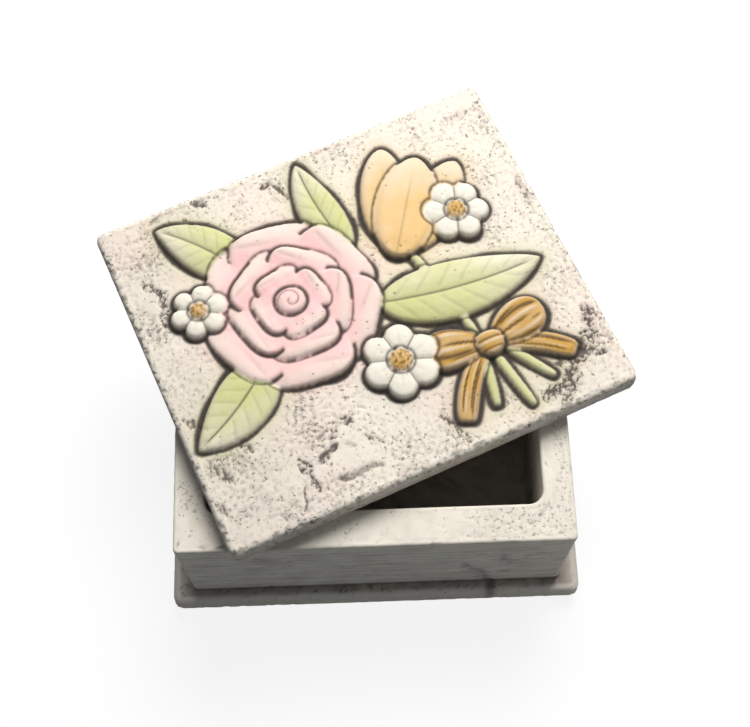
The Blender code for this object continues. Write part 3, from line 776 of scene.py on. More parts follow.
def new_piece(name, bm, node, body):
    """Make a bmesh a piece that stands for a CAD node."""
    mesh = bpy.data.meshes.new(name)
    bm.to_mesh(mesh)
    bm.free()
    piece = bpy.data.objects.new(name, mesh)
    bpy.context.scene.collection.objects.link(piece)
    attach(piece, body)
    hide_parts(node)
    return piece


def slab_ways_out(points):
    """The level way out from each point on a slab's side."""
    room = np.array([SLAB_WIDTH / 2 - SLAB_CORNER, SLAB_DEPTH / 2 - SLAB_CORNER])
    out = points[:, :2] - np.clip(points[:, :2], -room, room)
    return on_level(out / np.maximum(np.hypot(out[:, 0], out[:, 1]), 1e-9)[:, None])


def slab_border(points):
    """How far points on a slab lie from its nearest side."""
    return np.minimum(SLAB_WIDTH / 2 - np.abs(points[:, 0]), SLAB_DEPTH / 2 - np.abs(points[:, 1]))


def cast_slab(thickness, cell, side_rows):
    """A slab with rounded edges under a fine top grid. Returns the bmesh, its number of top points, and how
    many of them lie in a row."""
    half_x = SLAB_WIDTH / 2 - TOP_ROUNDING
    half_y = SLAB_DEPTH / 2 - TOP_ROUNDING
    columns = round(2 * half_x / cell)
    rows = round(2 * half_y / cell)
    bm = bmesh.new()
    bmesh.ops.create_grid(bm, x_segments=columns, y_segments=rows, size=1)
    radius = SLAB_CORNER - TOP_ROUNDING
    for v in bm.verts:
        x, y = v.co.x * half_x, v.co.y * half_y
        out_x = max(abs(x) - (half_x - radius), 0)
        out_y = max(abs(y) - (half_y - radius), 0)
        if out_x and out_y:
            squeeze = max(out_x, out_y) / math.hypot(out_x, out_y)
            x = math.copysign(half_x - radius + out_x * squeeze, x)
            y = math.copysign(half_y - radius + out_y * squeeze, y)
        v.co = (x, y, thickness)
    tops = len(bm.verts)
    turn = [math.pi / 2 * k / SLAB_ROUNDING_STEPS for k in range(1, SLAB_ROUNDING_STEPS + 1)]
    levels = [(TOP_ROUNDING * math.sin(a), thickness - TOP_ROUNDING * (1 - math.cos(a))) for a in turn]
    drop = thickness - TOP_ROUNDING - FOOT_ROUNDING
    for k in range(1, side_rows + 1):
        levels.append((TOP_ROUNDING, thickness - TOP_ROUNDING - drop * k / side_rows))
    foot = TOP_ROUNDING - FOOT_ROUNDING
    levels += [(foot + FOOT_ROUNDING * math.cos(a), FOOT_ROUNDING * (1 - math.sin(a))) for a in turn[1::2]]
    levels += [(foot, 0)]
    edges = [e for e in bm.edges if e.is_boundary]
    for reach, height in levels:
        ring = bmesh.ops.extrude_edge_only(bm, edges=edges)["geom"]
        edges = [g for g in ring if isinstance(g, bmesh.types.BMEdge)]
        for v in (g for g in ring if isinstance(g, bmesh.types.BMVert)):
            core_x = max(-(SLAB_WIDTH / 2 - SLAB_CORNER), min(SLAB_WIDTH / 2 - SLAB_CORNER, v.co.x))
            core_y = max(-(SLAB_DEPTH / 2 - SLAB_CORNER), min(SLAB_DEPTH / 2 - SLAB_CORNER, v.co.y))
            out = Vector((v.co.x - core_x, v.co.y - core_y)).normalized() * (radius + reach)
            v.co = (core_x + out.x, core_y + out.y, height)
    bmesh.ops.contextual_create(bm, geom=edges)
    for face in bm.faces:
        face.smooth = len(face.verts) == 4
    bmesh.ops.recalc_face_normals(bm, faces=bm.faces)
    return bm, tops, columns + 1


def mesh_points(mesh):
    points = np.empty(len(mesh.vertices) * 3)
    mesh.vertices.foreach_get("co", points)
    return points.reshape(-1, 3)


def softened(values, columns):
    """Values over the top grid, each mixed with its neighbours'."""
    grid = values.reshape(-1, columns)
    for _ in range(2):
        padded = np.pad(grid, ((1, 1), (0, 0)), mode="edge")
        grid = ((padded[:-2] + 2 * grid + padded[2:]) / 4).T
    return grid.ravel()


def set_masks(mesh, top, side):
    """Masks over the top points and the rest, as attributes. One that the rest doesn't have is 0 there."""
    for name, values in top.items():
        rest = np.broadcast_to(side.get(name, 0.0), len(mesh.vertices) - len(values))
        layer = mesh.attributes.new(name, "FLOAT", "POINT")
        layer.data.foreach_set("value", np.clip(np.concatenate([values, rest]), 0, 1).astype(np.float32))


def side_wear(points, outward, depth):
    """Small hollows in a cast side: the points pushed in, and a dark mask."""
    rough = 0.5 + 0.5 * grain(points, 1.6 * MM, 3.0)
    pits = smooth_step(0.18, 0.55, grain(points, 0.8 * MM, 17.0))
    patch = smooth_step(-0.2, 0.5, grain(points, 7 * MM, 21.0))
    push = SIDE_ROUGHNESS * rough + depth * pits * patch
    return points - outward * push[:, None], np.clip(0.12 * rough + 0.75 * pits * patch, 0, 1)


def place_lid(points):
    c, s = math.cos(LID_TURN), math.sin(LID_TURN)
    x = LID_MIDDLE[0] + c * points[:, 0] - s * points[:, 1]
    y = LID_MIDDLE[1] + s * points[:, 0] + c * points[:, 1]
    return np.column_stack([x, y, points[:, 2] + LID_LOW[2]])


def lid_top(flat, columns):
    """The lid's top over its flat grid, a worn ground with the painted bouquet: its heights and masks."""
    level = on_level(flat)
    drift = np.clip(0.5 + 0.9 * grain(level, 7 * MM, 9.0), 0, 1)
    height, cover, carved, groove, tint, shade, paints = relief(flat, drift)
    bare = 1 - cover
    fine = grain(level, 0.5 * MM, 71.0)
    lumps = grain(level, 0.9 * MM, 2.0) + 0.45 * fine
    clouds = grain(level, 8 * MM, 14.0)
    swell = grain(level, 3.2 * MM, 6.0)
    blots = smooth_step(-0.12, 0.42, lumps + 0.45 * clouds) * bare
    dents = smooth_step(0.42, 0.72, lumps + 0.55 * clouds) * bare

    zone = streaks(flat, LID_WEAR, grain(level, 2.2 * MM, 44.0), 1.3, 0.2)
    half_x, half_y = SLAB_WIDTH / MM / 2, SLAB_DEPTH / MM / 2
    specks = scattered(LID_SPECKS, (-half_x, -half_y), (half_x, half_y))
    bent = wavering(wavering(flat, 3.5 * MM, 0.9 * MM), 0.9 * MM, 0.30 * MM)
    cuts = streaks(bent, LID_CUTS + tuple(specks), fine + 0.5 * lumps) * (0.85 + 0.4 * fine)
    marks = np.maximum(furrows(level, zone), cuts) * (0.35 + 0.65 * bare)
    border = slab_border(flat)
    calm = smooth_step(TOP_ROUNDING - 0.1 * MM, TOP_ROUNDING + 0.9 * MM, border)
    ground = (-GROUND_SINK + SWELL_HEIGHT * swell + LUMP_HEIGHT * lumps - BLOT_DEPTH * blots) * bare
    total = height - OUTLINE_DEPTH * groove * (0.65 + 0.35 * drift)
    total = softened(total, columns) + (ground - MARK_DEPTH * marks) * calm

    chips = smooth_step(0.15, 0.6, grain(level, 1.3 * MM, 55.0))
    chips = chips * smooth_step(3.0 * MM, TOP_ROUNDING, border)
    tint = softened(tint, columns)
    # Painted shade darkens the bare ground towards the left
    left = smooth_step(-5 * MM, -40 * MM, flat[:, 0]) * (0.15 + 0.12 * swell) * bare
    blush = 0.16 * smooth_step(-0.1, 0.7, grain(level, 13 * MM, 77.0)) * bare
    paints["pink"] = np.maximum(paints["pink"], blush)
    masks = {
        "wash_and_painted_shade": np.maximum.reduce([0.45 * dents, 0.45 * chips, 1.12 * tint, 0.85 * marks, carved]),
        "shade": np.maximum.reduce([shade, (0.27 + 0.20 * clouds) * blots + left, 0.45 * zone * bare]),
        "speckle": np.maximum(0.54 + 0.45 * clouds + 0.25 * swell, 1.1 * zone) * bare + 0.10,
    }
    return LID_THICKNESS + np.clip(total, -DEEPEST_CUT, RELIEF_RISE), masks | paints


def lid_sides(sides):
    """The lid's sides, a little hollowed, and nibbled all round at the upper edge: points and masks."""
    outward = slab_ways_out(sides)
    worn, hollows = side_wear(sides, outward, LID_SIDE_PITS)
    high = sides[:, 2]
    keep = smooth_step(0, 0.6 * MM, high) * smooth_step(0, 0.5 * MM, LID_THICKNESS - high)
    worn = sides + (worn - sides) * keep[:, None]
    upper = smooth_step(LID_THICKNESS - 2.2 * MM, LID_THICKNESS - 0.7 * MM, high)
    bites = grain(sides, 1.25 * MM, 66.0) + 0.5 * grain(sides, 0.6 * MM, 36.0)
    nibble = smooth_step(0.02, 0.45, bites) * upper
    worn -= outward * (NIBBLE_DEPTH * nibble)[:, None]
    worn[:, 2] -= NIBBLE_DROP * nibble
    # The lower part of the sides is darkened: painted shade
    low = smooth_step(LID_THICKNESS, 0.3 * LID_THICKNESS, high)
    return worn, {
        "wash_and_painted_shade": np.maximum.reduce([hollows * keep, 0.15 * keep, 0.34 * nibble]),
        "shade": low * (0.50 + 0.3 * grain(sides, 2 * MM, 5.0)),
        "speckle": 0.30 + 0.45 * upper,
    }


def carved_lid():
    """The lid: a slab with a rough ground and the painted bouquet, as one fine surface."""
    bm, tops, columns = cast_slab(LID_THICKNESS, LID_CELL, LID_SIDE_ROWS)
    lid = new_piece("lid_relief", bm, "lid", "lid")
    mesh = lid.data
    points = mesh_points(mesh)
    points[:tops, 2], top_masks = lid_top(points[:tops, :2], columns)
    points[tops:], side_masks = lid_sides(points[tops:].copy())
    set_masks(mesh, top_masks, side_masks)
    mesh.vertices.foreach_set("co", place_lid(points).ravel())
    mesh.update()
    return lid


def plinth_ledge(level):
    """The plinth's top, in painted shadow at the tray's foot and with a painted highlight at its border:
    heights and masks.
    """
    rough = grain(level, 2.2 * MM, 1.0)
    pits = smooth_step(0.30, 0.65, grain(level, 0.9 * MM, 13.0) + 0.3 * grain(level, 8 * MM, 33.0))
    spots = streaks(level[:, :2], LEDGE_CUTS, rough)
    out = np.maximum(np.abs(level[:, :2]) - (TRAY_WIDTH / 2, TRAY_DEPTH / 2), 0)
    away = np.hypot(out[:, 0], out[:, 1])
    # Painted shadow of the tray: dark at its foot on the ledge, and softer farther out in the shade mask
    painted_shadow = 0.55 * np.exp(-away / LEDGE_PAINTED_SHADOW) * (1 + 0.3 * rough)
    stain = ridge(level[:, 0] - STAIN_ACROSS - STAIN_WAVER * rough, STAIN_REACH) * (level[:, 1] < 0)
    specks = 0.45 * smooth_step(0.05, 0.55, grain(level, 1.1 * MM, 3.0) + 0.4 * rough)
    heights = level[:, 2] - (LEDGE_SINK * (1 + rough) + LEDGE_PITS * pits)
    return heights - LEDGE_SPOTS * spots, {
        "wash_and_painted_shade": np.maximum.reduce([specks, 0.60 * pits, painted_shadow, 0.80 * stain, 0.90 * spots]),
        "shade": 0.66 * smooth_step(4.4 * MM, 0.4 * MM, away) * (1 + 0.22 * rough) + 0.12,
        "painted_highlight": 0.5 * smooth_step(1.8 * MM, TOP_ROUNDING, slab_border(level)),
        "speckle": 0.55 + 0.3 * rough,
    }


def plinth_sides(sides):
    """The plinth's sides, a little hollowed, with a painted highlight above and painted shade at the foot:
    points and masks.
    """
    worn, hollows = side_wear(sides, slab_ways_out(sides), PLINTH_SIDE_PITS)
    high = sides[:, 2]
    keep = smooth_step(0, 0.6 * MM, high)
    stain = ridge(sides[:, 0] - STAIN_ACROSS, SIDE_STAIN_REACH) * (sides[:, 1] < 0)
    # Painted shade along the foot of the sides, and a painted highlight on their upper edge
    foot = 0.40 * smooth_step(1.0 * MM, 0, high)
    edge = smooth_step(PLINTH_THICKNESS - 1.5 * TOP_ROUNDING, PLINTH_THICKNESS - 0.4 * TOP_ROUNDING, high)
    return sides + (worn - sides) * keep[:, None], {
        "wash_and_painted_shade": np.maximum.reduce([0.6 * hollows * keep * (1 - 0.6 * edge), foot, 0.65 * stain]),
        "shade": 0.16 + 0.10 * edge,
        "painted_highlight": 0.4 * edge,
        "speckle": 0.45,
    }


def cast_plinth():
    """The plinth, a plain slab of the lid's size."""
    bm, tops, _ = cast_slab(PLINTH_THICKNESS, PLINTH_CELL, PLINTH_SIDE_ROWS)
    plinth = new_piece("plinth_slab", bm, "base_plinth", "box")
    mesh = plinth.data
    points = mesh_points(mesh)
    points[:tops, 2], top_masks = plinth_ledge(points[:tops].copy())
    points[tops:], side_masks = plinth_sides(points[tops:].copy())
    set_masks(mesh, top_masks, side_masks)
    mesh.vertices.foreach_set("co", points.ravel())
    mesh.update()
    return plinth


def wall_columns(width, depth, radius):
    """Points round a rounded rectangle and their ways out, as many on a straight side whatever its size."""
    points, ways = [], []
    counts = [round(TRAY_WIDTH / WALL_COLUMN), round(TRAY_DEPTH / WALL_COLUMN)]
    corners = ((1, 1), (-1, 1), (-1, -1), (1, -1))
    for quarter, (side_x, side_y) in enumerate(corners):
        middle = np.array([side_x * (width / 2 - radius), side_y * (depth / 2 - radius)])
        for step in range(CORNER_STEPS + 1):
            angle = math.pi / 2 * (quarter + step / CORNER_STEPS)
            way = np.array([math.cos(angle), math.sin(angle)])
            points.append(middle + radius * way)
            ways.append(way)
        next_x, next_y = corners[(quarter + 1) % 4]
        goal = np.array([next_x * (width / 2 - radius), next_y * (depth / 2 - radius)]) + radius * ways[-1]
        count = counts[quarter % 2]
        start = points[-1]
        for step in range(1, count):
            points.append(start + (goal - start) * step / count)
            ways.append(ways[-1])
    return np.array(points), np.array(ways)


def course_profile(heights, along):
    """How far the wall steps back at heights and places along it, its dark lines and its painted highlights.
    """
    unit = TRAY_HEIGHT / sum(row[0] for row in COURSE_SHARES)
    inset = np.zeros_like(heights)
    dark = np.zeros_like(heights)
    painted_highlight = np.zeros_like(heights)
    top = 0
    for k, row in enumerate(COURSE_SHARES):
        bottom = top
        top += row[0] * unit
        inset = np.where((heights >= bottom) & (heights < top), row[1] * COURSE_STEP, inset)
        if row[2]:
            line = np.column_stack([along, np.full_like(along, k * 7.3 * MM), np.zeros_like(along)])
            waver = GROOVE_WAVER * grain(line, 9 * MM, 2.0)
            fade = np.clip(0.72 + 0.60 * grain(line, 7 * MM, 60.0), 0.25, 1)
            groove = ridge(heights - top - waver, GROOVE_WIDTH / 1.7) * (0.45 + 0.55 * row[2]) * fade
            middle = heights - (top + 0.45 * unit) - 0.7 * waver
            faint = np.clip(0.30 + 0.8 * grain(line, 5 * MM, 90.0), 0, 0.8)
            fine = ridge(middle, GROOVE_WIDTH / 2.6) * faint
            inset = inset + GROOVE_DEPTH * groove + 0.5 * GROOVE_DEPTH * fine
            dark = np.maximum(dark, np.maximum(groove, 0.7 * fine))
            # A painted highlight just under each groove, on the lip that faces up
            lit = np.clip(0.50 + 0.9 * grain(line, 6 * MM, 120.0), 0, 1)
            painted_highlight = np.maximum(painted_highlight, ridge(heights - top - waver + HIGHLIGHT_DROP, HIGHLIGHT_REACH) * lit)
    return inset, dark, painted_highlight


def rim_wear(ring, share):
    """Wear of the rim at a share of the way in: how far it sinks, and its wash, shade with a painted shadow
    at the left, and speckle.
    """
    rough = grain(ring, 2.4 * MM, 4.0)
    right = smooth_step(8 * MM, 26 * MM, ring[:, 0])
    behind_front = ring[:, 1] > END_WALL - TRAY_DEPTH / 2
    outer = 1 - 0.80 * smooth_step(0.50, 0.62, share + 0.06 * rough) * behind_front
    zone = np.maximum(right * outer, smooth_step(0.15, 0.6, grain(ring, 11 * MM, 23.0)))
    lumps = grain(ring, 1.1 * MM, 19.0) + 0.4 * grain(ring, 0.7 * MM, 29.0)
    dents = smooth_step(-0.05, 0.45, lumps) * zone
    pits = smooth_step(0.42, 0.64, lumps) * (0.30 + 0.70 * zone)
    cuts = streaks(wavering(ring[:, :2], 1.6 * MM, 0.7 * MM), RIM_CUTS, 1.6 * lumps) * (0.75 + 0.8 * lumps)
    # The edges of the rim are nibbled, most on the outside
    lip = np.maximum(smooth_step(0.16, 0.02, share), 0.6 * smooth_step(0.90, 0.99, share))
    nibble = smooth_step(0.25, 0.55, grain(ring, 1.5 * MM, 47.0)) * lip
    sink = RIM_SINK * (1 + rough) + RIM_DENTS * dents + RIM_PITS * pits
    sink = sink + RIM_CUT_DEPTH * np.maximum(cuts, nibble)
    # Painted shadow of the lid over the left of the rim
    left = smooth_step(-30 * MM, -36 * MM, ring[:, 0]) * (1 + rough)
    shade = np.maximum.reduce([0.12 * dents, 0.10 * smooth_step(-0.2, 0.5, rough), 0.14 * left])
    return sink, np.maximum.reduce([0.35 * pits, 0.85 * cuts, 0.45 * nibble]), shade, 0.25 + 0.65 * zone


def tray_profile():
    """The rows of the tray's skin from the foot up: what each runs over, its step inwards and its height."""
    top = TRAY_HEIGHT - RIM_ROUNDING
    low = FLOOR_THICKNESS + HOLLOW_FLOOR
    turn = [math.pi / 2 * k / RIM_ROUNDING_STEPS for k in range(1, RIM_ROUNDING_STEPS + 1)]
    rows = [("out", 0.0, z) for z in np.linspace(0, top, round(top / WALL_ROW))]
    rows += [("out", RIM_ROUNDING * (1 - math.cos(a)), top + RIM_ROUNDING * math.sin(a)) for a in turn]
    rows += [("rim", k / RIM_ROWS, TRAY_HEIGHT) for k in range(1, RIM_ROWS)]
    rows += [("in", -RIM_ROUNDING * (1 - math.sin(a)), top + RIM_ROUNDING * math.cos(a)) for a in [0] + turn]
    rows += [("in", 0.0, z) for z in np.linspace(top, low, HOLLOW_ROWS)[1:]]
    rows += [("in", HOLLOW_FLOOR * (1 - math.cos(a)), low - HOLLOW_FLOOR * math.sin(a)) for a in turn]
    rows += [("floor", k / FLOOR_ROWS, FLOOR_THICKNESS) for k in range(1, FLOOR_ROWS)]
    return rows


def wall_row(wall, step, height):
    """A row of points on the outside of the walls, and their masks: wash with painted shade at the foot,
    shade, speckle and painted highlight. The wall is unrolled round the foot, with 0 in the middle of the
    front."""
    heights = np.full(len(wall.points), height)
    back, dark, painted_highlight = course_profile(heights, wall.perimeter)
    unrolled = np.column_stack([wall.across, heights])
    level = on_level(unrolled)
    wobble = grain(level, 0.6 * MM, 9.0)
    zone = streaks(unrolled, WALL_WEAR, grain(level, 2.2 * MM, 4.0), 1.3, 0.2)
    bent = wavering(wavering(unrolled, 5 * MM, 1.4 * MM), 1.6 * MM, 0.22 * MM)
    cut = streaks(bent, wall.cuts, 0.35 * wobble, 2.5, 0.3) * (0.80 + 0.3 * wobble)
    cut = np.maximum(cut, 0.45 * furrows(level, zone))
    calm = smooth_step(0, 0.8 * MM, TRAY_HEIGHT - heights)
    inset = step + back * calm + WALL_CUT_DEPTH * cut * calm
    ring = np.column_stack([wall.points - wall.ways * inset[:, None], heights])
    ring, worn = side_wear(ring, on_level(wall.ways), WALL_SIDE_PITS)
    # Painted shade up the wall from its foot
    foot = 0.85 * np.exp(-heights / FOOT_PAINTED_SHADOW)
    chips = smooth_step(0.25, 0.55, grain(ring, 1.5 * MM, 47.0))
    chips = chips * smooth_step(1.0 * MM, 0.2 * MM, TRAY_HEIGHT - heights)
    wash_and_painted_shade = np.maximum.reduce([0.88 * dark * calm, 0.25 * worn, 0.70 * cut * calm, foot, 0.5 * chips])
    blotches = zone * (0.40 + 0.30 * grain(ring, 1.4 * MM, 35.0))
    return ring, wash_and_painted_shade, blotches + 0.11 + 0.20 * grain(ring, 6 * MM, 12.0), TRAY_SPECKLE, painted_highlight


def hollow_row(flat, height):
    """A row of points inside the tray, in painted shade that deepens the lower it lies, and their masks as on
    the walls.
    """
    ring = on_level(flat, height)
    # Painted shade, deeper the lower the point lies
    sunk = smooth_step(TRAY_HEIGHT - 2.5 * MM, 0.35 * TRAY_HEIGHT, ring[:, 2])
    wash_and_painted_shade = 0.46 * sunk + 0.22 * smooth_step(0.0, 0.9, grain(ring, 2.5 * MM, 40.0))
    return ring, wash_and_painted_shade, 0.5 * sunk, TRAY_SPECKLE, 0.0


def ribbed_tray():
    """The tray, as one skin from the foot up the walls, over the rim and down to the floor of the hollow."""
    outer, out_way = wall_columns(TRAY_WIDTH, TRAY_DEPTH, TRAY_CORNER)
    inner, in_way = wall_columns(TRAY_WIDTH - 2 * SIDE_WALL, TRAY_DEPTH - 2 * END_WALL, HOLLOW_CORNER)
    mouth = outer - out_way * RIM_ROUNDING
    lip = inner + in_way * RIM_ROUNDING
    bed = inner - in_way * HOLLOW_FLOOR
    perimeter = np.concatenate([[0], np.cumsum(np.hypot(*np.diff(outer, axis=0).T))])
    front = np.nonzero(out_way[:, 1] < -0.999)[0]
    middle = np.interp(0, outer[front, 0], perimeter[front]) / MM
    pits = scattered(WALL_PITS, (-middle, WALL_PITS_LOW), (perimeter[-1] / MM - middle, WALL_PITS_HIGH))
    wall = SimpleNamespace(
        points=outer, ways=out_way, perimeter=perimeter, across=perimeter - middle * MM,
        cuts=WALL_CUTS + tuple(pits),
    )

    places, masks = [], []
    for where, step, height in tray_profile():
        if where == "out":
            ring, *row_masks = wall_row(wall, step, height)
        elif where == "rim":
            ring = on_level(mouth + (lip - mouth) * step, height)
            sink, *row_masks = rim_wear(ring, step)
            ring[:, 2] -= sink
            row_masks.append(0.0)
        else:
            flat = bed * (1 - step) if where == "floor" else inner - in_way * step
            ring, *row_masks = hollow_row(flat, height)
        places.append(ring)
        masks.append([np.broadcast_to(mask, len(ring)) for mask in row_masks])
    return tray_skin(np.array(places), np.clip(masks, 0, 1))


def tray_skin(places, masks):
    """The tray from rows of points and their masks: a grid joined end to end, with foot and floor filled."""
    rows, columns = places.shape[:2]
    bm = bmesh.new()
    bmesh.ops.create_grid(bm, x_segments=columns, y_segments=rows - 1, size=1)
    grid = np.array([v.co[:2] for v in bm.verts])
    across = np.round((grid[:, 0] + 1) / 2 * columns).astype(int) % columns
    up = np.round((grid[:, 1] + 1) / 2 * (rows - 1)).astype(int)
    names = ("wash_and_painted_shade", "shade", "speckle", "painted_highlight")
    for name in names:
        bm.verts.layers.float.new(name)
    layers = [bm.verts.layers.float[name] for name in names]
    for v, i, j in zip(bm.verts, across.tolist(), up.tolist()):
        v.co = places[j, i]
        for layer, value in zip(layers, masks[j, :, i].tolist()):
            v[layer] = value
    bmesh.ops.remove_doubles(bm, verts=bm.verts, dist=1e-6)
    for face in bm.faces:
        face.smooth = True
    caps = bmesh.ops.holes_fill(bm, edges=[e for e in bm.edges if e.is_boundary], sides=0)["faces"]
    for face in caps:
        face.smooth = False
    bmesh.ops.translate(bm, vec=(0, 0, TRAY_LOW[2]), verts=bm.verts)
    bmesh.ops.recalc_face_normals(bm, faces=bm.faces)
    return new_piece("tray_walls", bm, "box_tray", "box")


def new_group(name, inputs, outputs):
    group = bpy.data.node_groups.new(name, "ShaderNodeTree")
    for socket, kind, value in inputs:
        item = group.interface.new_socket(socket, in_out="INPUT", socket_type=kind)
        if value is not None:
            item.default_value = value
    for socket, kind in outputs:
        group.interface.new_socket(socket, in_out="OUTPUT", socket_type=kind)
    return group, group.nodes.new("NodeGroupInput").outputs, group.nodes.new("NodeGroupOutput").inputs


def math_node(tree, operation, *values, clamp=False):
    node = tree.nodes.new("ShaderNodeMath")
    node.operation = operation
    node.use_clamp = clamp
    for socket, value in zip(node.inputs, values):
        if isinstance(value, (int, float)):
            socket.default_value = value
        else:
            tree.links.new(value, socket)
    return node.outputs[0]


def noise_node(tree, vector, scale, detail=3.0, roughness=0.55):
    node = tree.nodes.new("ShaderNodeTexNoise")
    node.inputs["Scale"].default_value = scale
    node.inputs["Detail"].default_value = detail
    node.inputs["Roughness"].default_value = roughness
    tree.links.new(vector, node.inputs["Vector"])
    return node.outputs["Fac"]


def ramp_node(tree, value, low, high):
    node = tree.nodes.new("ShaderNodeMapRange")
    node.interpolation_type = "SMOOTHSTEP"
    node.inputs["From Min"].default_value = low
    node.inputs["From Max"].default_value = high
    tree.links.new(value, node.inputs["Value"])
    return node.outputs["Result"]


def mix_node(tree, factor, first, second):
    node = tree.nodes.new("ShaderNodeMix")
    node.data_type = "RGBA"
    sockets = [node.inputs["Factor"]] + [s for s in node.inputs if s.type == "RGBA"]
    for socket, value in zip(sockets, (factor, first, second)):
        if isinstance(value, (int, float)):
            socket.default_value = value
        elif isinstance(value, tuple):
            socket.default_value = (*value, 1)
        else:
            tree.links.new(value, socket)
    return next(s for s in node.outputs if s.type == "RGBA")


def weighted_sum(tree, first, first_share, second, second_share):
    """Two values added up, each taken by its share."""
    first_part = math_node(tree, "MULTIPLY", first, first_share)
    second_part = math_node(tree, "MULTIPLY", second, second_share)
    return math_node(tree, "ADD", first_part, second_part)


def plaster_grain_group():
    """Fine grain of cast plaster: a height for bumps, a tone that drifts over the piece, tiny dark pores, and
    speckles that grow with their amount."""
    group, given, leave = new_group(
        "plaster_grain",
        [("Vector", VECTOR, None), ("Pores", FLOAT, 0.5), ("Speckle", FLOAT, 0.0)],
        [("Height", FLOAT), ("Tone", FLOAT), ("Pore Mask", FLOAT), ("Speckle Mask", FLOAT)],
    )
    vector = given["Vector"]
    fine = noise_node(group, vector, FINE_SCALE, 4, 0.6)
    middle = noise_node(group, vector, MIDDLE_SCALE, 3)
    drift = noise_node(group, vector, DRIFT_SCALE, 2)
    cells = group.nodes.new("ShaderNodeTexVoronoi")
    cells.inputs["Scale"].default_value = PORE_SCALE
    group.links.new(vector, cells.inputs["Vector"])
    near = ramp_node(group, cells.outputs["Distance"], 0.30, 0.12)
    few = ramp_node(group, noise_node(group, vector, PORE_FIELD_SCALE, 2), 0.54, 0.66)
    pores = math_node(group, "MULTIPLY", near, math_node(group, "MULTIPLY", few, given["Pores"]))
    lifted = math_node(group, "MULTIPLY_ADD", given["Speckle"], 0.17, -0.17)
    dots = math_node(group, "ADD", noise_node(group, vector, SPECKLE_SCALE, 3, 0.6), lifted)
    speckles = ramp_node(group, dots, 0.53, 0.61)
    height = weighted_sum(group, fine, 0.4, middle, 0.6)
    height = math_node(group, "SUBTRACT", height, math_node(group, "MULTIPLY", pores, 0.8))
    height = math_node(group, "SUBTRACT", height, math_node(group, "MULTIPLY", speckles, 0.5))
    group.links.new(height, leave["Height"])
    group.links.new(weighted_sum(group, drift, 0.55, middle, 0.45), leave["Tone"])
    group.links.new(pores, leave["Pore Mask"])
    group.links.new(speckles, leave["Speckle Mask"])
    return group


def wash_and_shade_group():
    """Dark antiquing wash, which also lays painted shade: it lies in the hollows, soft where it is thin and
    ragged where it is thick.
    """
    group, given, leave = new_group(
        "wash_and_shade_layer",
        [("Vector", VECTOR, None), ("Under", COLOUR, (1, 1, 1, 1)), ("Mask", FLOAT, 0.0),
         ("Wash Colour", COLOUR, (*WASH_AND_PAINTED_SHADE, 1)), ("Amount", FLOAT, 1.0)],
        [("Color", COLOUR)],
    )
    broken = noise_node(group, given["Vector"], WASH_AND_SHADE_SCALE, 3, 0.65)
    shaken = math_node(group, "ADD", given["Mask"], math_node(group, "MULTIPLY_ADD", broken, 0.40, -0.20))
    hard = math_node(group, "MULTIPLY_ADD", ramp_node(group, shaken, 0.24, 0.62), 0.55, 0.45)
    ragged = math_node(group, "MULTIPLY", given["Mask"], hard)
    mask = math_node(group, "MULTIPLY", ragged, given["Amount"], clamp=True)
    group.links.new(mix_node(group, mask, given["Under"], given["Wash Colour"]), leave["Color"])
    return group


def airbrush_group():
    """One airbrushed paint over what is under it, a little uneven."""
    group, given, leave = new_group(
        "airbrush",
        [("Vector", VECTOR, None), ("Under", COLOUR, (1, 1, 1, 1)), ("Paint", COLOUR, (1, 1, 1, 1)),
         ("Mask", FLOAT, 0.0)],
        [("Color", COLOUR)],
    )
    cloud = math_node(group, "MULTIPLY_ADD", noise_node(group, given["Vector"], SPRAY_SCALE, 3), 0.9, 0.55)
    mask = math_node(group, "MULTIPLY", given["Mask"], cloud, clamp=True)
    group.links.new(mix_node(group, mask, given["Under"], given["Paint"]), leave["Color"])
    return group


def use_group(tree, group, **links):
    """Place a group in a material. An underscore in an input's name stands for a space."""
    node = tree.nodes.new("ShaderNodeGroup")
    node.node_tree = group
    for name, value in links.items():
        socket = node.inputs[name.replace("_", " ")]
        if isinstance(value, (int, float)):
            socket.default_value = value
        elif isinstance(value, tuple):
            socket.default_value = (*value, 1)
        else:
            tree.links.new(value, socket)
    return node.outputs


def attribute_node(tree, name):
    node = tree.nodes.new("ShaderNodeAttribute")
    node.attribute_name = name
    return node.outputs["Fac"]


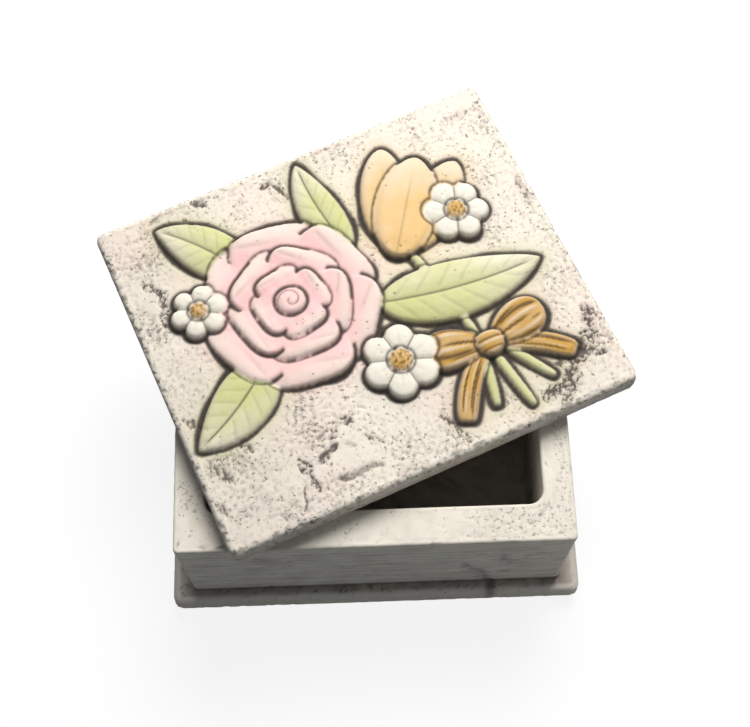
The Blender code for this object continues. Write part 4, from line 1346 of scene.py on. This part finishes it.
def plaster_material(name, base, shade, pores, speckle, amount, bump, paints):
    """Cast plaster whose tone drifts from base to shade, under paints, speckles and an antique wash that also
    lays painted shade.
    """
    material = bpy.data.materials.new(name)
    material.use_nodes = True
    tree = material.node_tree
    shader = tree.nodes["Principled BSDF"]
    vector = tree.nodes.new("ShaderNodeTexCoord").outputs["Object"]
    cast = use_group(
        tree, GROUPS["plaster_grain"], Vector=vector, Pores=pores, Speckle=attribute_node(tree, "speckle")
    )
    colour = mix_node(tree, ramp_node(tree, cast["Tone"], 0.36, 0.66), base, shade)
    for paint, tint in paints:
        mask = attribute_node(tree, paint)
        sprayed = use_group(tree, GROUPS["airbrush"], Vector=vector, Under=colour, Paint=tint, Mask=mask)
        colour = sprayed["Color"]
    colour = mix_node(tree, math_node(tree, "MULTIPLY", cast["Speckle Mask"], speckle), colour, SPECKLE)
    pore_mask = math_node(tree, "MULTIPLY", cast["Pore Mask"], 0.8)
    mask = math_node(tree, "MAXIMUM", attribute_node(tree, "wash_and_painted_shade"), pore_mask)
    washed_and_shaded = use_group(
        tree, GROUPS["wash_and_shade_layer"], Vector=vector, Under=colour, Mask=mask, Wash_Colour=WASH_AND_PAINTED_SHADE, Amount=amount
    )
    tree.links.new(washed_and_shaded["Color"], shader.inputs["Base Color"])
    tree.links.new(math_node(tree, "MULTIPLY_ADD", cast["Height"], 0.25, 0.62), shader.inputs["Roughness"])
    bumps = tree.nodes.new("ShaderNodeBump")
    bumps.inputs["Distance"].default_value = bump
    tree.links.new(cast["Height"], bumps.inputs["Height"])
    tree.links.new(bumps.outputs["Normal"], shader.inputs["Normal"])
    shader.inputs["Specular IOR Level"].default_value = SHEEN
    return material


def seen_directly(tree):
    """1 for the rays that show a background: camera, glossy and transmission rays."""
    path = tree.nodes.new("ShaderNodeLightPath").outputs
    seen = math_node(tree, "MAXIMUM", path["Is Camera Ray"], path["Is Glossy Ray"])
    return math_node(tree, "MAXIMUM", seen, path["Is Transmission Ray"])


def floor():
    """A pale floor that shows white with a light shadow, and gives the object only a dim bounce."""
    bm = bmesh.new()
    bmesh.ops.create_grid(bm, x_segments=1, y_segments=1, size=FLOOR_SIZE)
    mesh = bpy.data.meshes.new("floor")
    bm.to_mesh(mesh)
    bm.free()
    paper = bpy.data.objects.new("floor", mesh)
    bpy.context.scene.collection.objects.link(paper)
    material = bpy.data.materials.new("floor_paper")
    material.use_nodes = True
    tree = material.node_tree
    shader = tree.nodes["Principled BSDF"]
    shader.inputs["Roughness"].default_value = 1.0
    shader.inputs["Specular IOR Level"].default_value = 0.0
    seen = seen_directly(tree)
    tree.links.new(mix_node(tree, seen, FLOOR_BOUNCE, FLOOR_SEEN), shader.inputs["Base Color"])
    tree.links.new(mix_node(tree, seen, (0.0, 0.0, 0.0), FLOOR_GLOW), shader.inputs["Emission Color"])
    shader.inputs["Emission Strength"].default_value = 1.0
    mesh.materials.append(material)


def sky():
    """A sky that shows white and lights the object only softly."""
    world = bpy.data.worlds.new("studio")
    bpy.context.scene.world = world
    world.use_nodes = True
    tree = world.node_tree
    background = tree.nodes["Background"]
    seen = seen_directly(tree)
    tree.links.new(mix_node(tree, seen, SKY_COLOUR, (1.0, 1.0, 1.0)), background.inputs["Color"])
    strength = math_node(tree, "MULTIPLY_ADD", seen, 1 - SKY_STRENGTH, SKY_STRENGTH)
    tree.links.new(strength, background.inputs["Strength"])


def area_lamp(name, place, size, power, colour):
    """A round lamp that is turned to the origin."""
    lamp = bpy.data.lights.new(name, "AREA")
    lamp.shape = "DISK"
    lamp.size = size
    lamp.energy = power
    lamp.color = colour
    thing = bpy.data.objects.new(name, lamp)
    thing.location = place
    thing.rotation_euler = Vector(place).to_track_quat("Z", "Y").to_euler()
    bpy.context.scene.collection.objects.link(thing)


def photo_camera():
    camera = bpy.data.objects.new("camera", bpy.data.cameras.new("camera"))
    camera.data.lens = CAMERA_LENS
    camera.data.sensor_width = CAMERA_SENSOR
    camera.data.sensor_fit = "HORIZONTAL"
    camera.data.clip_start = 0.01
    back = Vector((
        math.sin(CAMERA_AZIMUTH) * math.cos(CAMERA_ELEVATION),
        -math.cos(CAMERA_AZIMUTH) * math.cos(CAMERA_ELEVATION),
        math.sin(CAMERA_ELEVATION),
    ))
    right = Vector((math.cos(CAMERA_AZIMUTH), math.sin(CAMERA_AZIMUTH), 0))
    basis = Matrix((right, back.cross(right), back)).transposed()
    turn = basis @ Matrix.Rotation(CAMERA_ROLL, 3, "Z")
    camera.matrix_world = Matrix.Translation(Vector(CAMERA_TARGET) + back * CAMERA_DISTANCE) @ turn.to_4x4()
    bpy.context.scene.collection.objects.link(camera)
    bpy.context.scene.camera = camera


photo_camera()
GROUPS = {group.name: group for group in (plaster_grain_group(), wash_and_shade_group(), airbrush_group())}
lid = carved_lid()
plinth = cast_plinth()
tray = ribbed_tray()
painted = plaster_material("painted_plaster", *LID_PLASTER, **LID_FINISH, paints=PAINTS)
lid.data.materials.append(painted)
ribbed = plaster_material("ribbed_plaster", *WALL_PLASTER, **WALL_FINISH, paints=(SHADE, PAINTED_HIGHLIGHT))
tray.data.materials.append(ribbed)
plain = plaster_material("foot_plaster", *FOOT_PLASTER, **FOOT_FINISH, paints=(SHADE, PAINTED_HIGHLIGHT))
plinth.data.materials.append(plain)
floor()
sky()
area_lamp("key", *KEY_LAMP)
area_lamp("fill", *FILL_LAMP)

bpy.context.scene.view_settings.view_transform = "Standard"
